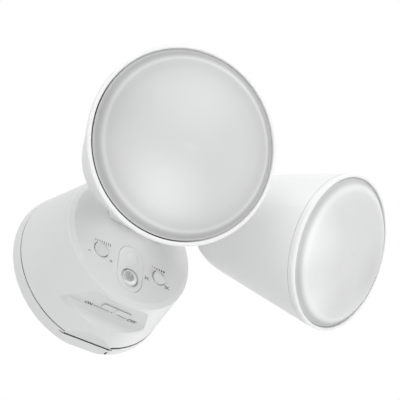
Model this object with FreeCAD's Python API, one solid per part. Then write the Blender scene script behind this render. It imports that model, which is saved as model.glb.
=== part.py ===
"""Twin-head motion sensor security light for an outside wall.

The origin is on the wall, at the centre of the round wall plate. The wall is the plane Y = 0, the
light faces -Y, +X is to the right seen from the front, and +Z is up. Sizes are in millimetres. The
light is drawn as it hangs: both heads are turned outwards and tipped down towards the ground.
"""
import FreeCAD
import Part
import os
from math import atan2, cos, hypot, pi, radians, sin, sqrt, tan

# Clearances
parting_gap = 0.6        # open line between wall plate and housing
fit_gap = 0.3            # between moulded pieces that drop into each other
pin_clearance = 0.08     # radial, round the pins and shafts that turn
washer_clearance = 0.1   # beside a friction washer

# Wall plate
plate_flare = 1.8          # how far the plate's widest edge stands outside the housing
plate_front_step = 0.3
plate_back_round = 0.8
plate_depth = 8.2
plate_lip_depth = 1.2
plate_edge_round = 1.0
panel_thickness = 5.0
spigot_wall = 2.0
spigot_reach = 4.2         # how far the plate's spigot stands into the housing
spigot_gap = 0.7
flat_cut = 2.5             # how far the flat along the bottom is inside the round edge
flat_flare = 2.9           # how much further down the flat is at the wall
slit_width = 1.3
slit_depth = 4.2

# Crossbar and what hangs on it
bar_end_margin = 6.0
bar_height = 25.0
bar_thickness = 2.0
bar_recess_depth = 2.4
box_screw_spacing = 88.9
box_slot_width = 4.4
box_slot_length = 12.0
box_window_margin = 4.2
stud_spacing = 40.0
stud_radius = 1.9
stud_head_radius = 3.6
stud_head_height = 1.6
keyhole_drop = 9.0
spring_width = 8.0
spring_thickness = 0.8
spring_gap = 0.1
spring_end_margin = 6.5
spring_x = 18.3
stake_radius = 1.2

# Cable entry and seals
grommet_bore_radius = 8.0
grommet_wall = 1.6
grommet_flange = 2.2
grommet_lip = 1.0
bar_hole_radius = 10.2
earth_x = -29.0
earth_z = 7.5
earth_radius = 1.9
earth_head_radius = 3.2
earth_head_height = 2.2
gasket_inset = 5.2
gasket_width = 3.6
gasket_depth = 1.5
seal_width = 1.0
seal_height = 1.6

# Housing
housing_radius = 64.0
housing_depth = 43.5     # from the parting line to the front
housing_taper = 11.6       # how much the radius shrinks towards the front
housing_front_round = 0.8
front_band_drop = 1.4      # how far the band round the face leans back at its outer edge
housing_wall = 2.5
front_wall = 4.5
dish_depth = 1.5
dish_margin = 3.8
skirt_drop = 1.6         # how far the housing reaches back over the plate along the flat
boss_offset = 31.8
boss_radius = 3.6
screw_radius = 1.5
screw_head_radius = 2.9
screw_head_height = 1.9
housing_screw_grip = 12.0  # thread beyond the wall plate
driver_screw_grip = 6.0    # thread behind the driver board

# Finger recess under the front, with the slide switch
recess_depth = 14.4      # how far its floor is above the housing's lowest round
recess_back_y = -27.9
recess_back_lean = 0.32
recess_back_round = 2.6
recess_front_y = -48.6
recess_front_round = 4.0
recess_half_width = 46.0
switch_x = 2.8
switch_y = -35.7
slider_length = 22.0
slider_width = 5.0
slider_thickness = 0.6
slider_gap = 0.3           # between its plate and the recess floor
slider_corner = 1.2
slider_travel = 4.2        # each way from its middle place
slider_bar_width = 1.5
slider_bar_proud = 0.5
slider_stem_length = 2.6
slider_stem_width = 1.6
slider_stem_height = 6.1   # above the recess floor
switch_slit_corner = 0.5
switch_body_length = 22.0
switch_body_width = 8.0
switch_body_height = 6.4

# Dials
dial_x = 24.5
dial_z = -21.4
dial_radius = 5.3
dial_ring_gap = 0.55
dial_ridge_height = 3.2
dial_turn = -26.0        # degrees, where both grips point at rest, from +X towards +Z
dial_flange_radius = 7.0
dial_flange_thickness = 1.2
dial_stem_radius = 2.4
dial_stem_length = 3.4
control_width = 11.0
control_height = 3.6

# Sensor
sensor_z = -25.2
sensor_width = 21.0
sensor_length = 36.2
sensor_proud = 1.1
sensor_gap = 0.12
sensor_edge_round = 1.0
sensor_seat_depth = 1.5
sensor_lens_z = -32.7
sensor_lens_radius = 6.7
sensor_lens_rise = 4.2
sensor_lens_wall = 1.0
sensor_lens_flange = 1.4
photocell_z = -16.6
photocell_radius = 5.0
photocell_thickness = 1.4
detector_radius = 4.1
detector_height = 3.6

# Boards
board_thickness = 1.6
driver_y = -15.0
driver_width = 60.0
driver_low_z = -17.0
driver_high_z = 27.0
driver_post_radius = 2.8
driver_post_inset = 4.0
sensor_board_y = -40.0
sensor_board_width = 60.0
sensor_board_top_z = -4.0
sensor_board_step_z = -27.5
sensor_board_low_z = -38.2
sensor_board_low_width = 47.0
sensor_post_radius = 2.2
sensor_pin_radius = 1.1
terminal_z = -36.0
terminal_width = 26.0
terminal_height = 12.0
terminal_depth = 12.0
terminal_pitch = 8.0
terminal_hole_radius = 2.1
transformer_width = 20.0
transformer_x = -14.0
transformer_z = 8.0
transformer_height = 16.0
relay_width = 18.0
relay_depth = 13.0
relay_x = 12.0
relay_z = -6.5
relay_height = 14.0
capacitor_radius = 5.0
capacitor_length = 20.0
choke_radius = 6.0
choke_height = 8.0

# Arms
saddle_width = 47.2
saddle_low_z = 8.6
saddle_height = 30.0
saddle_corner = 4.5
saddle_thickness = 6.8
saddle_edge_round = 1.2
saddle_gasket_thickness = 0.8
arm_root_x = 13.4
arm_flange_radius = 9.4
arm_flange_thickness = 4.0
arm_radius = 6.4
arm_bore_radius = 3.2
arm_screw_offset = 6.4
pan_axis_x = 33.4
pan_axis_y = -72.5
pan_height = 21.6
pan_eye_radius = 8.0
pan_eye_height = 12.0
pivot_bolt_radius = 2.5
pivot_head_radius = 4.4
pivot_head_height = 2.6
pivot_socket_radius = 1.6
washer_thickness = 0.9
ear_thickness = 4.0
knuckle_reach = 16.0     # from the pan pin to the tilt pin
knuckle_gap = 0.6
knuckle_width = 12.0
tilt_eye_radius = 7.4

# Heads, as they hang
head_pan = 13.44         # degrees outwards
head_tilt = 39.26        # degrees down
head_length = 105.1      # rim face to rear flat
head_setback = 14.0      # rear flat to tilt pin
head_rim_radius = 45.4
head_rim_width = 2.2
head_rim_depth = 3.6
head_rim_round = 1.3
head_groove_width = 0.2
head_shoulder_radius = 35.1   # where the straight cone ends
head_shoulder_length = 79.1
head_rear_radius = 19.6
head_wall = 2.2
lens_gap = 0.65
lens_rise = 2.8
lens_crown = 2.0
lens_shoulder = 8.0      # from the lens's edge to where its crowned middle begins
lens_flank_lean = 4.2
lens_flank_pull = 0.8     # how tightly the shoulder turns, from 0 to 1
lens_wall = 2.0
lens_flange_thickness = 1.0
lens_gasket_thickness = 0.6
rim_lip = 1.2
rim_skirt = 1.2
ledge_width = 3.4
ledge_depth = 3.0
led_plane = 26.0         # front of the LED board, behind the rim face
led_board_inset = 1.4
led_size = 3.0
led_height = 0.8
led_ring_radii = (0.0, 11.0, 22.0)
led_ring_counts = (1, 6, 12)
sink_gap = 1.2
sink_thickness = 3.0
sink_fin_length = 18.0
sink_fin_thickness = 1.6
sink_fin_count = 7
sink_fin_pitch = 8.4
sink_fin_inset = 9.0
lug_radius = 3.4
lug_inset = 2.4
lug_length = 12.0
bracket_pad_width = 27.0
bracket_pad_height = 16.0
bracket_pad_thickness = 3.0
bracket_ear_thickness = 5.0

# Places and sizes that follow from the ones above
beyond = 3 * housing_radius    # safely outside the base in any direction
plate_radius = housing_radius + plate_flare
plate_front_radius = housing_radius + plate_front_step
plate_back_radius = plate_radius - plate_back_round
spigot_radius = housing_radius - housing_wall - seal_width - spigot_gap
spigot_depth = plate_depth + spigot_reach
flat_height = housing_radius - flat_cut
gasket_outer_radius = plate_radius - gasket_inset
gasket_inner_radius = gasket_outer_radius - gasket_width
bar_length = 2 * (gasket_inner_radius - bar_end_margin)
housing_front_radius = housing_radius - housing_taper
dish_radius = housing_front_radius - dish_margin
parting_y = -(plate_depth + parting_gap / 2)
housing_back_y = -(plate_depth + parting_gap)
recess_floor_z = recess_depth - housing_radius
front_y = parting_y - housing_depth
inner_front_y = front_y + front_wall
dish_sphere = (dish_radius ** 2 + dish_depth ** 2) / (2 * dish_depth)
housing_slope = (housing_radius - housing_front_radius) / housing_depth
saddle_seat_y = inner_front_y - 2.0
saddle_back_y = saddle_seat_y - saddle_gasket_thickness
saddle_front_y = saddle_back_y - saddle_thickness
saddle_mid_z = saddle_low_z + saddle_height / 2
switch_slit_length = slider_stem_length + 2 * (slider_travel + fit_gap)
head_cone_slope = (head_rim_radius - head_shoulder_radius) / head_shoulder_length
head_lens_opening = head_rim_radius - head_rim_width
sink_back = led_plane + board_thickness + sink_thickness
sink_radius = head_rim_radius - head_cone_slope * sink_back - head_wall - sink_gap
led_board_radius = sink_radius - led_board_inset
lug_circle = sink_radius - lug_inset
heading = FreeCAD.Vector(-sin(radians(head_pan)), -cos(radians(head_pan)), 0)
tilt_axis = FreeCAD.Vector(cos(radians(head_pan)), -sin(radians(head_pan)), 0)
head_forward = heading * cos(radians(head_tilt)) - FreeCAD.Vector(0, 0, sin(radians(head_tilt)))
head_upward = head_forward.cross(tilt_axis)
pan_point = FreeCAD.Vector(-pan_axis_x, pan_axis_y, pan_height)
tilt_point = pan_point + heading * knuckle_reach
head_point = tilt_point + head_forward * (head_setback + head_length)


def vec(x, y, z):
    return FreeCAD.Vector(x, y, z)


def rod(radius, start, end):
    """A round bar between two points."""
    along = end - start
    return Part.makeCylinder(radius, along.Length, start, along)


def block(low, high):
    """A box from its lowest to its highest corner."""
    return Part.makeBox(high[0] - low[0], high[1] - low[1], high[2] - low[2], vec(*low))


def rounded_outline(corners, place):
    """A closed wire through (u, v, radius) corners, each rounded by its radius."""
    edges = []
    last = None
    first = None
    count = len(corners)
    for i in range(count):
        u, v, radius = corners[i]
        pu, pv = corners[i - 1][:2]
        nu, nv = corners[(i + 1) % count][:2]
        back = (pu - u, pv - v)
        ahead = (nu - u, nv - v)
        back_length = hypot(*back)
        ahead_length = hypot(*ahead)
        back = (back[0] / back_length, back[1] / back_length)
        ahead = (ahead[0] / ahead_length, ahead[1] / ahead_length)
        half = 0.5 * abs(atan2(back[0] * ahead[1] - back[1] * ahead[0],
                               back[0] * ahead[0] + back[1] * ahead[1]))
        if radius > 0:
            run = radius / tan(half)
            start = (u + back[0] * run, v + back[1] * run)
            end = (u + ahead[0] * run, v + ahead[1] * run)
            middle = (back[0] + ahead[0], back[1] + ahead[1])
            size = hypot(*middle)
            reach = radius / sin(half) - radius
            mid = (u + middle[0] / size * reach, v + middle[1] / size * reach)
        else:
            start = end = (u, v)
        if last is not None and hypot(start[0] - last[0], start[1] - last[1]) > 1e-6:
            edges.append(Part.LineSegment(place(*last), place(*start)).toShape())
        if first is None:
            first = start
        if radius > 0:
            edges.append(Part.Arc(place(*start), place(*mid), place(*end)).toShape())
        last = end
    if hypot(first[0] - last[0], first[1] - last[1]) > 1e-6:
        edges.append(Part.LineSegment(place(*last), place(*first)).toShape())
    return Part.Wire(edges)


def turned(corners):
    """A solid turned about the Y axis from (radius, y, corner round) points."""
    wire = rounded_outline(corners, lambda u, v: vec(u, v, 0))
    return Part.Face(wire).revolve(vec(0, 0, 0), vec(0, 1, 0), 360)


def head_turned(corners):
    """A solid turned about the head's own axis from (radius, depth behind the rim face, round)."""
    wire = rounded_outline(corners, lambda u, v: vec(u, 0, -v))
    return Part.Face(wire).revolve(vec(0, 0, 0), vec(0, 0, 1), 360)


def panel(x, z, width, height, corner, y_back, y_front):
    """A rounded rectangle square to the wall, from y_back to y_front."""
    w, h = width / 2, height / 2
    corners = [(x - w, z - h, corner), (x + w, z - h, corner),
               (x + w, z + h, corner), (x - w, z + h, corner)]
    wire = rounded_outline(corners, lambda u, v: vec(u, y_back, v))
    return Part.Face(wire).extrude(vec(0, y_front - y_back, 0))


def screw(start, end, radius, head_radius, head_height):
    """A pan-head screw whose head starts at start and whose point is at end."""
    along = end - start
    direction = along * (1 / along.Length)
    shank = rod(radius, start + direction * head_height * 0.5, end)
    head = Part.makeCylinder(head_radius, head_height, start, along)
    socket = Part.makeCylinder(head_radius * 0.42, head_height * 0.55, start, along)
    return head.fuse(shank).cut(socket)


def hexagon(width, height, start, along):
    """A hexagonal prism, width across flats."""
    nut = Part.makeCylinder(width / sqrt(3), height, start, along)
    points = []
    helper = vec(0, 0, 1) if abs(along.z) < 0.9 else vec(1, 0, 0)
    side = along.cross(helper)
    side.normalize()
    other = along.cross(side)
    other.normalize()
    for i in range(7):
        angle = i * pi / 3
        points.append(start + (side * cos(angle) + other * sin(angle)) * (width / sqrt(3)))
    return nut.common(Part.Face(Part.makePolygon(points)).extrude(along * height))


def rounded(shape, radius, picked):
    """The shape with the edges that picked accepts rounded, as far as they can be."""
    edges = [edge for edge in shape.Edges if picked(edge)]
    return shape.makeFillet(radius, edges) if edges else shape


def mirrored(shape):
    return shape.mirror(vec(0, 0, 0), vec(1, 0, 0))


def save(name, shapes):
    """Write one named sub-part, one solid or a group of separate solids."""
    shape = shapes[0] if len(shapes) == 1 else Part.makeCompound(shapes)
    volume = sum(solid.Volume for solid in shape.Solids)
    print(name, len(shape.Solids), "solids", round(volume / 1000, 2), "cm3", shape.isValid())
    shape.exportStep("parts/" + name + ".step")


def save_pair(name, shapes):
    """Write the left-hand piece, and its mirror image as the right-hand one."""
    save(name + "_left", shapes)
    save(name + "_right", [mirrored(shape) for shape in shapes])


# The base


def flat_cutter(y_back, y_front, drop_back, drop_front):
    """What lies below the flat along the bottom, from y_back to y_front."""
    reach = 2 * plate_radius
    points = [vec(-reach, y_back, drop_back), vec(-reach, y_front, drop_front),
              vec(-reach, y_front, -reach), vec(-reach, y_back, -reach)]
    points.append(points[0])
    return Part.Face(Part.makePolygon(points)).extrude(vec(2 * reach, 0, 0))


def skirt_strip(extra):
    """The strip along the flat where the housing reaches back over the plate."""
    half = sqrt(housing_radius ** 2 - flat_height ** 2) + extra
    deep = housing_wall + 1.2 + extra
    return half, deep


def back_plate():
    plate = turned([(0, 0, 0), (plate_back_radius, 0, 0), (plate_radius, -plate_lip_depth, 0),
                    (plate_front_radius, -plate_depth, plate_edge_round),
                    (spigot_radius, -plate_depth, 0), (spigot_radius, -spigot_depth, 0),
                    (spigot_radius - spigot_wall, -spigot_depth, 0),
                    (spigot_radius - spigot_wall, -panel_thickness, 0), (0, -panel_thickness, 0)])
    plate = plate.cut(flat_cutter(1, -plate_depth, -flat_height - flat_flare, -flat_height))
    inside_flat = -flat_height + housing_wall + fit_gap
    plate = plate.cut(block((-beyond, -beyond, -beyond), (beyond, -plate_depth, inside_flat)))
    half, deep = skirt_strip(fit_gap)
    step = block((-half, -plate_depth - 1, -plate_radius - 5),
                 (half, -plate_depth + skirt_drop, -flat_height + deep))
    plate = plate.cut(step.common(rod(plate_radius + 9, vec(0, 0, 0), vec(0, -beyond, 0))))
    plate = plate.cut(panel(0, 0, bar_length + 2 * fit_gap, bar_height + 2 * fit_gap, 2,
                            1, -bar_recess_depth))
    plate = plate.cut(turned([(gasket_inner_radius, -gasket_depth, 0),
                              (gasket_outer_radius, -gasket_depth, 0),
                              (gasket_outer_radius, 1, 0), (gasket_inner_radius, 1, 0)]))
    plate = plate.cut(rod(grommet_bore_radius + grommet_wall, vec(0, 1, 0), vec(0, -beyond, 0)))
    for side in (-1, 1):
        window = box_slot_length + 2 * box_window_margin
        plate = plate.cut(panel(side * box_screw_spacing / 2, 0, window,
                                box_slot_width + 2 * box_window_margin, 3, 1, -beyond))
        x = side * stud_spacing / 2
        neck = stud_radius + fit_gap
        plate = plate.cut(rod(stud_head_radius + fit_gap, vec(x, 1, -keyhole_drop),
                              vec(x, -beyond, -keyhole_drop)))
        plate = plate.cut(panel(x, -keyhole_drop / 2, 2 * neck, keyhole_drop + 2 * neck,
                                neck * 0.999, 1, -beyond))
        for high in (-1, 1):
            plate = plate.cut(rod(screw_radius + fit_gap, vec(side * boss_offset, 1, high * boss_offset),
                                  vec(side * boss_offset, -beyond, high * boss_offset)))
            plate = plate.cut(rod(screw_head_radius + fit_gap,
                                  vec(side * boss_offset, 1, high * boss_offset),
                                  vec(side * boss_offset, -screw_head_height - fit_gap,
                                      high * boss_offset)))
    for x, z in driver_posts():
        post = rod(driver_post_radius, vec(x, -panel_thickness + 1, z), vec(x, driver_y, z))
        plate = plate.fuse(post)
        plate = plate.cut(rod(screw_radius * 0.8, vec(x, driver_y + 7, z), vec(x, driver_y - 1, z)))
    plate = plate.cut(rod(earth_head_radius + fit_gap, vec(earth_x, 1, earth_z),
                          vec(earth_x, -beyond, earth_z)))
    low, high = spring_span()
    plate = plate.cut(block((spring_x - spring_width / 2 - fit_gap, -spring_thickness - 2 * spring_gap,
                             low - fit_gap), (spring_x + spring_width / 2 + fit_gap, 1, high + 1)))
    for z in spring_stakes():
        plate = plate.fuse(rod(stake_radius, vec(spring_x, -spring_thickness - 1, z),
                               vec(spring_x, -spring_gap, z)))
    slit_z = -flat_height - flat_flare
    plate = plate.cut(block((spring_x - slit_width / 2, -slit_depth, slit_z - 2),
                            (spring_x + slit_width / 2, 1, slit_z + 6)))
    return plate.removeSplitter()


def driver_posts():
    x = driver_width / 2 - driver_post_inset
    return [(sx * x, z) for sx in (-1, 1)
            for z in (driver_low_z + driver_post_inset, driver_high_z - driver_post_inset)]


def spring_span():
    """Lowest and highest point of the lock spring."""
    return -gasket_inner_radius + spring_end_margin, -bar_height / 2 - fit_gap


def spring_stakes():
    low, high = spring_span()
    return (low + 0.35 * (high - low), low + 0.5 * (high - low))


def lock_spring():
    low, high = spring_span()
    strip = block((spring_x - spring_width / 2, -spring_thickness, low),
                  (spring_x + spring_width / 2, 0, high))
    for z in spring_stakes():
        strip = strip.cut(rod(stake_radius + 0.05, vec(spring_x, 1, z), vec(spring_x, -3, z)))
    return strip.translated(vec(0, -spring_gap, 0))


def crossbar():
    bar = panel(0, 0, bar_length, bar_height, 2, 0, -bar_thickness)
    bar = bar.cut(rod(bar_hole_radius, vec(0, 1, 0), vec(0, -5, 0)))
    for side in (-1, 1):
        bar = bar.cut(panel(side * box_screw_spacing / 2, 0, box_slot_length, box_slot_width,
                            box_slot_width / 2 * 0.999, 1, -5))
    bar = bar.cut(rod(earth_radius, vec(earth_x, 1, earth_z), vec(earth_x, -5, earth_z)))
    for side in (-1, 1):
        x = side * stud_spacing / 2
        head_y = -panel_thickness - fit_gap
        bar = bar.fuse(rod(stud_radius, vec(x, -bar_thickness / 2, 0), vec(x, head_y, 0)))
        bar = bar.fuse(rod(stud_head_radius, vec(x, head_y, 0), vec(x, head_y - stud_head_height, 0)))
    return bar.removeSplitter()


def earth_screw():
    head_y = -bar_thickness - earth_head_height
    return screw(vec(earth_x, head_y, earth_z), vec(earth_x, -spring_gap, earth_z),
                 earth_radius, earth_head_radius, earth_head_height)


def wire_grommet():
    inner = grommet_bore_radius
    wall = inner + grommet_wall - 0.05
    flange = inner + grommet_wall + grommet_flange
    back = -bar_recess_depth
    return turned([(inner, back + grommet_lip, 0.3), (wall + 0.4, back + grommet_lip, 0.3),
                   (wall + 0.4, back, 0), (wall, back, 0), (wall, -panel_thickness, 0),
                   (flange, -panel_thickness, 0), (flange, -panel_thickness - grommet_lip, 0.3),
                   (inner, -panel_thickness - grommet_lip, 0.3)])


def wall_gasket():
    side = 0.05
    return turned([(gasket_inner_radius + side, -gasket_depth, 0),
                   (gasket_outer_radius - side, -gasket_depth, 0),
                   (gasket_outer_radius - side, 0, 0), (gasket_inner_radius + side, 0, 0)])


def body_seal():
    inner = spigot_radius
    outer = spigot_radius + seal_width
    ring = turned([(inner, -plate_depth, 0), (outer, -plate_depth, 0),
                   (outer, -plate_depth - seal_height, 0.3), (inner, -plate_depth - seal_height, 0)])
    low = -flat_height + skirt_strip(0)[1] + fit_gap
    return ring.cut(block((-beyond, -beyond, -beyond), (beyond, beyond, low)))


def cone_radius(y, inset):
    """The housing's outer radius at a depth, less an inset."""
    return housing_radius - housing_slope * (parting_y - y) - inset


def recess_cutter(wall):
    """The finger recess, grown by a wall thickness."""
    floor = recess_floor_z + wall
    back = recess_back_y + wall
    front = recess_front_y - wall
    low = -plate_radius - 10
    foot = back + (floor - low) * recess_back_lean
    corners = [(foot, low, 0), (back, floor, recess_back_round + wall),
               (front, floor, recess_front_round + wall), (front, low, 0)]
    wire = rounded_outline(corners, lambda u, v: vec(-recess_half_width, u, v))
    return Part.Face(wire).extrude(vec(2 * recess_half_width, 0, 0))


def base_housing():
    front = turned([(0, housing_back_y, 0), (cone_radius(housing_back_y, 0), housing_back_y, 0),
                    (cone_radius(front_y + front_band_drop, 0), front_y + front_band_drop,
                     housing_front_round),
                    (dish_radius + fit_gap, front_y, 0), (0, front_y, 0)])
    skirt = turned([(0, housing_back_y, 0), (cone_radius(housing_back_y, 0), housing_back_y, 0),
                    (housing_radius, housing_back_y + skirt_drop, 0),
                    (0, housing_back_y + skirt_drop, 0)])
    half, deep = skirt_strip(0)
    skirt = skirt.common(block((-half, -beyond, -beyond), (half, beyond, -flat_height + housing_wall)))
    outer = front.fuse(skirt)
    outer = outer.cut(flat_cutter(9, -beyond, -flat_height, -flat_height))
    outer = outer.cut(Part.makeSphere(dish_sphere, vec(0, front_y + dish_depth - dish_sphere, 0)))
    inside = cone_radius(housing_back_y, housing_wall)
    inside_front = cone_radius(inner_front_y, housing_wall)
    cavity = turned([(0, housing_back_y + 9, 0),
                     (inside + housing_slope * 9, housing_back_y + 9, 0),
                     (inside_front, inner_front_y, 3.0), (0, inner_front_y, 0)])
    cavity = cavity.cut(recess_cutter(housing_wall))
    inside_flat = -flat_height + housing_wall
    cavity = cavity.cut(flat_cutter(9, -beyond, inside_flat, inside_flat))
    shell = outer.cut(cavity).cut(recess_cutter(0))
    for sx in (-1, 1):
        for sz in (-1, 1):
            x, z = sx * boss_offset, sz * boss_offset
            shell = shell.fuse(rod(boss_radius, vec(x, -panel_thickness - fit_gap, z),
                                   vec(x, inner_front_y - 0.5, z)))
            shell = shell.cut(rod(screw_radius * 0.8, vec(x, -panel_thickness, z),
                                  vec(x, -panel_thickness - 16, z)))
    for x, z in sensor_posts():
        shell = shell.fuse(rod(sensor_post_radius, vec(x, sensor_board_y - board_thickness, z),
                               vec(x, inner_front_y - 0.5, z)))
        shell = shell.fuse(rod(sensor_pin_radius, vec(x, sensor_board_y + 0.8, z), vec(x, inner_front_y, z)))
    shell = shell.cut(saddle_panel(fit_gap, saddle_seat_y, -beyond))
    behind = inner_front_y + 4
    for side in (-1, 1):
        x = side * arm_root_x
        shell = shell.cut(rod(arm_bore_radius, vec(x, behind, pan_height), vec(x, -beyond, pan_height)))
        for up in (-1, 1):
            z = pan_height + up * arm_screw_offset
            shell = shell.cut(rod(screw_radius + fit_gap, vec(x, behind, z), vec(x, -beyond, z)))
        shell = shell.cut(rod(dial_radius + dial_ring_gap, vec(side * dial_x, behind, dial_z),
                              vec(side * dial_x, -beyond, dial_z)))
    shell = shell.cut(sensor_panel(sensor_gap, sensor_seat_y(), -beyond))
    shell = shell.cut(rod(sensor_lens_radius + fit_gap, vec(0, sensor_board_y, sensor_lens_z),
                          vec(0, -beyond, sensor_lens_z)))
    shell = shell.cut(rod(photocell_radius - 1.2, vec(0, sensor_board_y, photocell_z),
                          vec(0, -beyond, photocell_z)))
    shell = shell.cut(switch_panel(switch_slit_length, slider_stem_width + 2 * fit_gap,
                                   switch_slit_corner, recess_floor_z - 1,
                                   recess_floor_z + housing_wall + 1))
    return shell.removeSplitter()


def switch_panel(length, width, corner, low, top):
    """A plate with rounded corners, level, centred on the slide switch."""
    w, h = length / 2, width / 2
    corners = [(switch_x - w, switch_y - h, corner), (switch_x + w, switch_y - h, corner),
               (switch_x + w, switch_y + h, corner), (switch_x - w, switch_y + h, corner)]
    wire = rounded_outline(corners, lambda u, v: vec(u, v, low))
    return Part.Face(wire).extrude(vec(0, 0, top - low))


def saddle_panel(grow, y_back, y_front):
    return panel(0, saddle_mid_z, saddle_width + 2 * grow, saddle_height + 2 * grow,
                 saddle_corner + grow, y_back, y_front)


def sensor_seat_y():
    """Floor of the shallow seat that holds the sensor plate."""
    return front_y + dish_depth + sensor_seat_depth


def sensor_panel(grow, y_back, y_front):
    width = sensor_width + 2 * grow
    return panel(0, sensor_z, width, sensor_length + 2 * grow, width / 2 * 0.999, y_back, y_front)


def sensor_posts():
    return ((-15.0, -9.0), (15.0, -9.0), (-19.0, -34.0), (19.0, -34.0))


def housing_screws():
    return [screw(vec(sx * boss_offset, -0.3, sz * boss_offset),
                  vec(sx * boss_offset, -panel_thickness - housing_screw_grip, sz * boss_offset),
                  screw_radius * 0.79, screw_head_radius, screw_head_height)
            for sx in (-1, 1) for sz in (-1, 1)]


def driver_board():
    front = driver_y - board_thickness
    board = block((-driver_width / 2, front, driver_low_z), (driver_width / 2, driver_y, driver_high_z))
    for x, z in driver_posts():
        board = board.cut(rod(screw_radius, vec(x, 0, z), vec(x, -beyond, z)))
    return board


def driver_parts():
    front = driver_y - board_thickness
    half = transformer_width / 2
    transformer = block((transformer_x - half, front - transformer_height, transformer_z - half),
                        (transformer_x + half, front, transformer_z + half))
    relay = block((relay_x - relay_width / 2, front - relay_height, relay_z - relay_depth / 2),
                  (relay_x + relay_width / 2, front, relay_z + relay_depth / 2))
    capacitor_x = relay_x - capacitor_length / 2
    capacitor = rod(capacitor_radius, vec(capacitor_x, front - capacitor_radius, -2 * relay_z),
                    vec(capacitor_x + capacitor_length, front - capacitor_radius, -2 * relay_z))
    choke_z = transformer_z - transformer_width / 2 - choke_radius - 1.5
    choke = rod(choke_radius, vec(transformer_x, front, choke_z),
                vec(transformer_x, front - choke_height, choke_z))
    return [transformer, relay, capacitor, choke]


def driver_screws():
    start = driver_y - board_thickness - screw_head_height
    return [screw(vec(x, start, z), vec(x, driver_y + driver_screw_grip, z), screw_radius * 0.79, 2.6,
                  screw_head_height) for x, z in driver_posts()]


def terminal_block():
    y = -panel_thickness
    low = terminal_z - terminal_height / 2
    body = block((-terminal_width / 2, y - terminal_depth, low),
                 (terminal_width / 2, y, low + terminal_height))
    for i in (-1, 0, 1):
        x = i * terminal_pitch
        body = body.cut(rod(terminal_hole_radius, vec(x, y - terminal_depth - 1, terminal_z + 1),
                            vec(x, y - terminal_depth / 2, terminal_z + 1)))
        body = body.cut(rod(terminal_hole_radius - 0.4, vec(x, y - terminal_depth / 3, low - 1),
                            vec(x, y - terminal_depth / 3, terminal_z + 2)))
    return body


def sensor_board():
    back, front = sensor_board_y, sensor_board_y - board_thickness
    wide = sensor_board_width / 2
    narrow = sensor_board_low_width / 2
    board = block((-wide, front, sensor_board_step_z), (wide, back, sensor_board_top_z))
    board = board.fuse(block((-narrow, front, sensor_board_low_z), (narrow, back, sensor_board_step_z)))
    for x, z in sensor_posts():
        board = board.cut(rod(sensor_pin_radius + 0.1, vec(x, 0, z), vec(x, -beyond, z)))
    cell = rod(2.4, vec(0, front, photocell_z), vec(0, front - 2.2, photocell_z))
    return [board.removeSplitter(), cell]


def pir_detector():
    front = sensor_board_y - board_thickness
    base = rod(detector_radius + 0.5, vec(0, front, sensor_lens_z), vec(0, front - 0.8, sensor_lens_z))
    can = rod(detector_radius, vec(0, front - 0.8, sensor_lens_z),
              vec(0, front - detector_height, sensor_lens_z))
    return base.fuse(can)


def sensor_plate():
    back = sensor_seat_y()
    front = front_y + dish_depth - sensor_proud
    plate = sensor_panel(0, back, front)
    plate = rounded(plate, sensor_edge_round, lambda edge: abs(edge.BoundBox.YMax - front) < 1e-3
                    and abs(edge.BoundBox.YMin - front) < 1e-3)
    plate = plate.cut(rod(sensor_lens_radius + fit_gap, vec(0, 0, sensor_lens_z),
                          vec(0, -beyond, sensor_lens_z)))
    plate = plate.cut(rod(photocell_radius + 0.1, vec(0, front + photocell_thickness, photocell_z),
                          vec(0, -beyond, photocell_z)))
    return plate.cut(rod(photocell_radius - 1.2, vec(0, 0, photocell_z), vec(0, -beyond, photocell_z)))


def photocell_window():
    front = front_y + dish_depth - sensor_proud
    return rod(photocell_radius, vec(0, front + photocell_thickness, photocell_z),
               vec(0, front + 0.05, photocell_z))


def sensor_lens():
    """A thin clear dome that stands through the sensor plate, with a flange behind the housing."""
    base_y = front_y + dish_depth - sensor_proud
    outer = sensor_lens_radius
    ball = (outer ** 2 + sensor_lens_rise ** 2) / (2 * sensor_lens_rise)
    centre = vec(0, base_y - sensor_lens_rise + ball, sensor_lens_z)
    back = inner_front_y + sensor_lens_flange
    inner = outer - sensor_lens_wall
    tube = rod(outer, vec(0, inner_front_y, sensor_lens_z), vec(0, base_y, sensor_lens_z))
    dome = Part.makeSphere(ball, centre).common(
        rod(outer, vec(0, base_y, sensor_lens_z), vec(0, base_y - 9, sensor_lens_z)))
    flange = rod(outer + 2.0, vec(0, back, sensor_lens_z), vec(0, inner_front_y, sensor_lens_z))
    hollow = rod(inner, vec(0, back + 1, sensor_lens_z), vec(0, base_y, sensor_lens_z))
    cap = Part.makeSphere(ball - sensor_lens_wall, centre).common(
        rod(inner, vec(0, base_y + 0.01, sensor_lens_z), vec(0, base_y - 9, sensor_lens_z)))
    return tube.fuse(dome).fuse(flange).cut(hollow).cut(cap).removeSplitter()


def dial_controls():
    """The two small rotary controls behind the dials."""
    front = sensor_board_y - board_thickness
    pieces = []
    for side in (-1, 1):
        x = side * dial_x
        w = control_width / 2
        body = block((x - w, front - control_height, dial_z - w), (x + w, front, dial_z + w))
        bore = dial_stem_radius + pin_clearance
        body = body.cut(rod(bore, vec(x, front - 0.4, dial_z), vec(x, front - 9, dial_z)))
        pieces.append(body)
    return pieces


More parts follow.
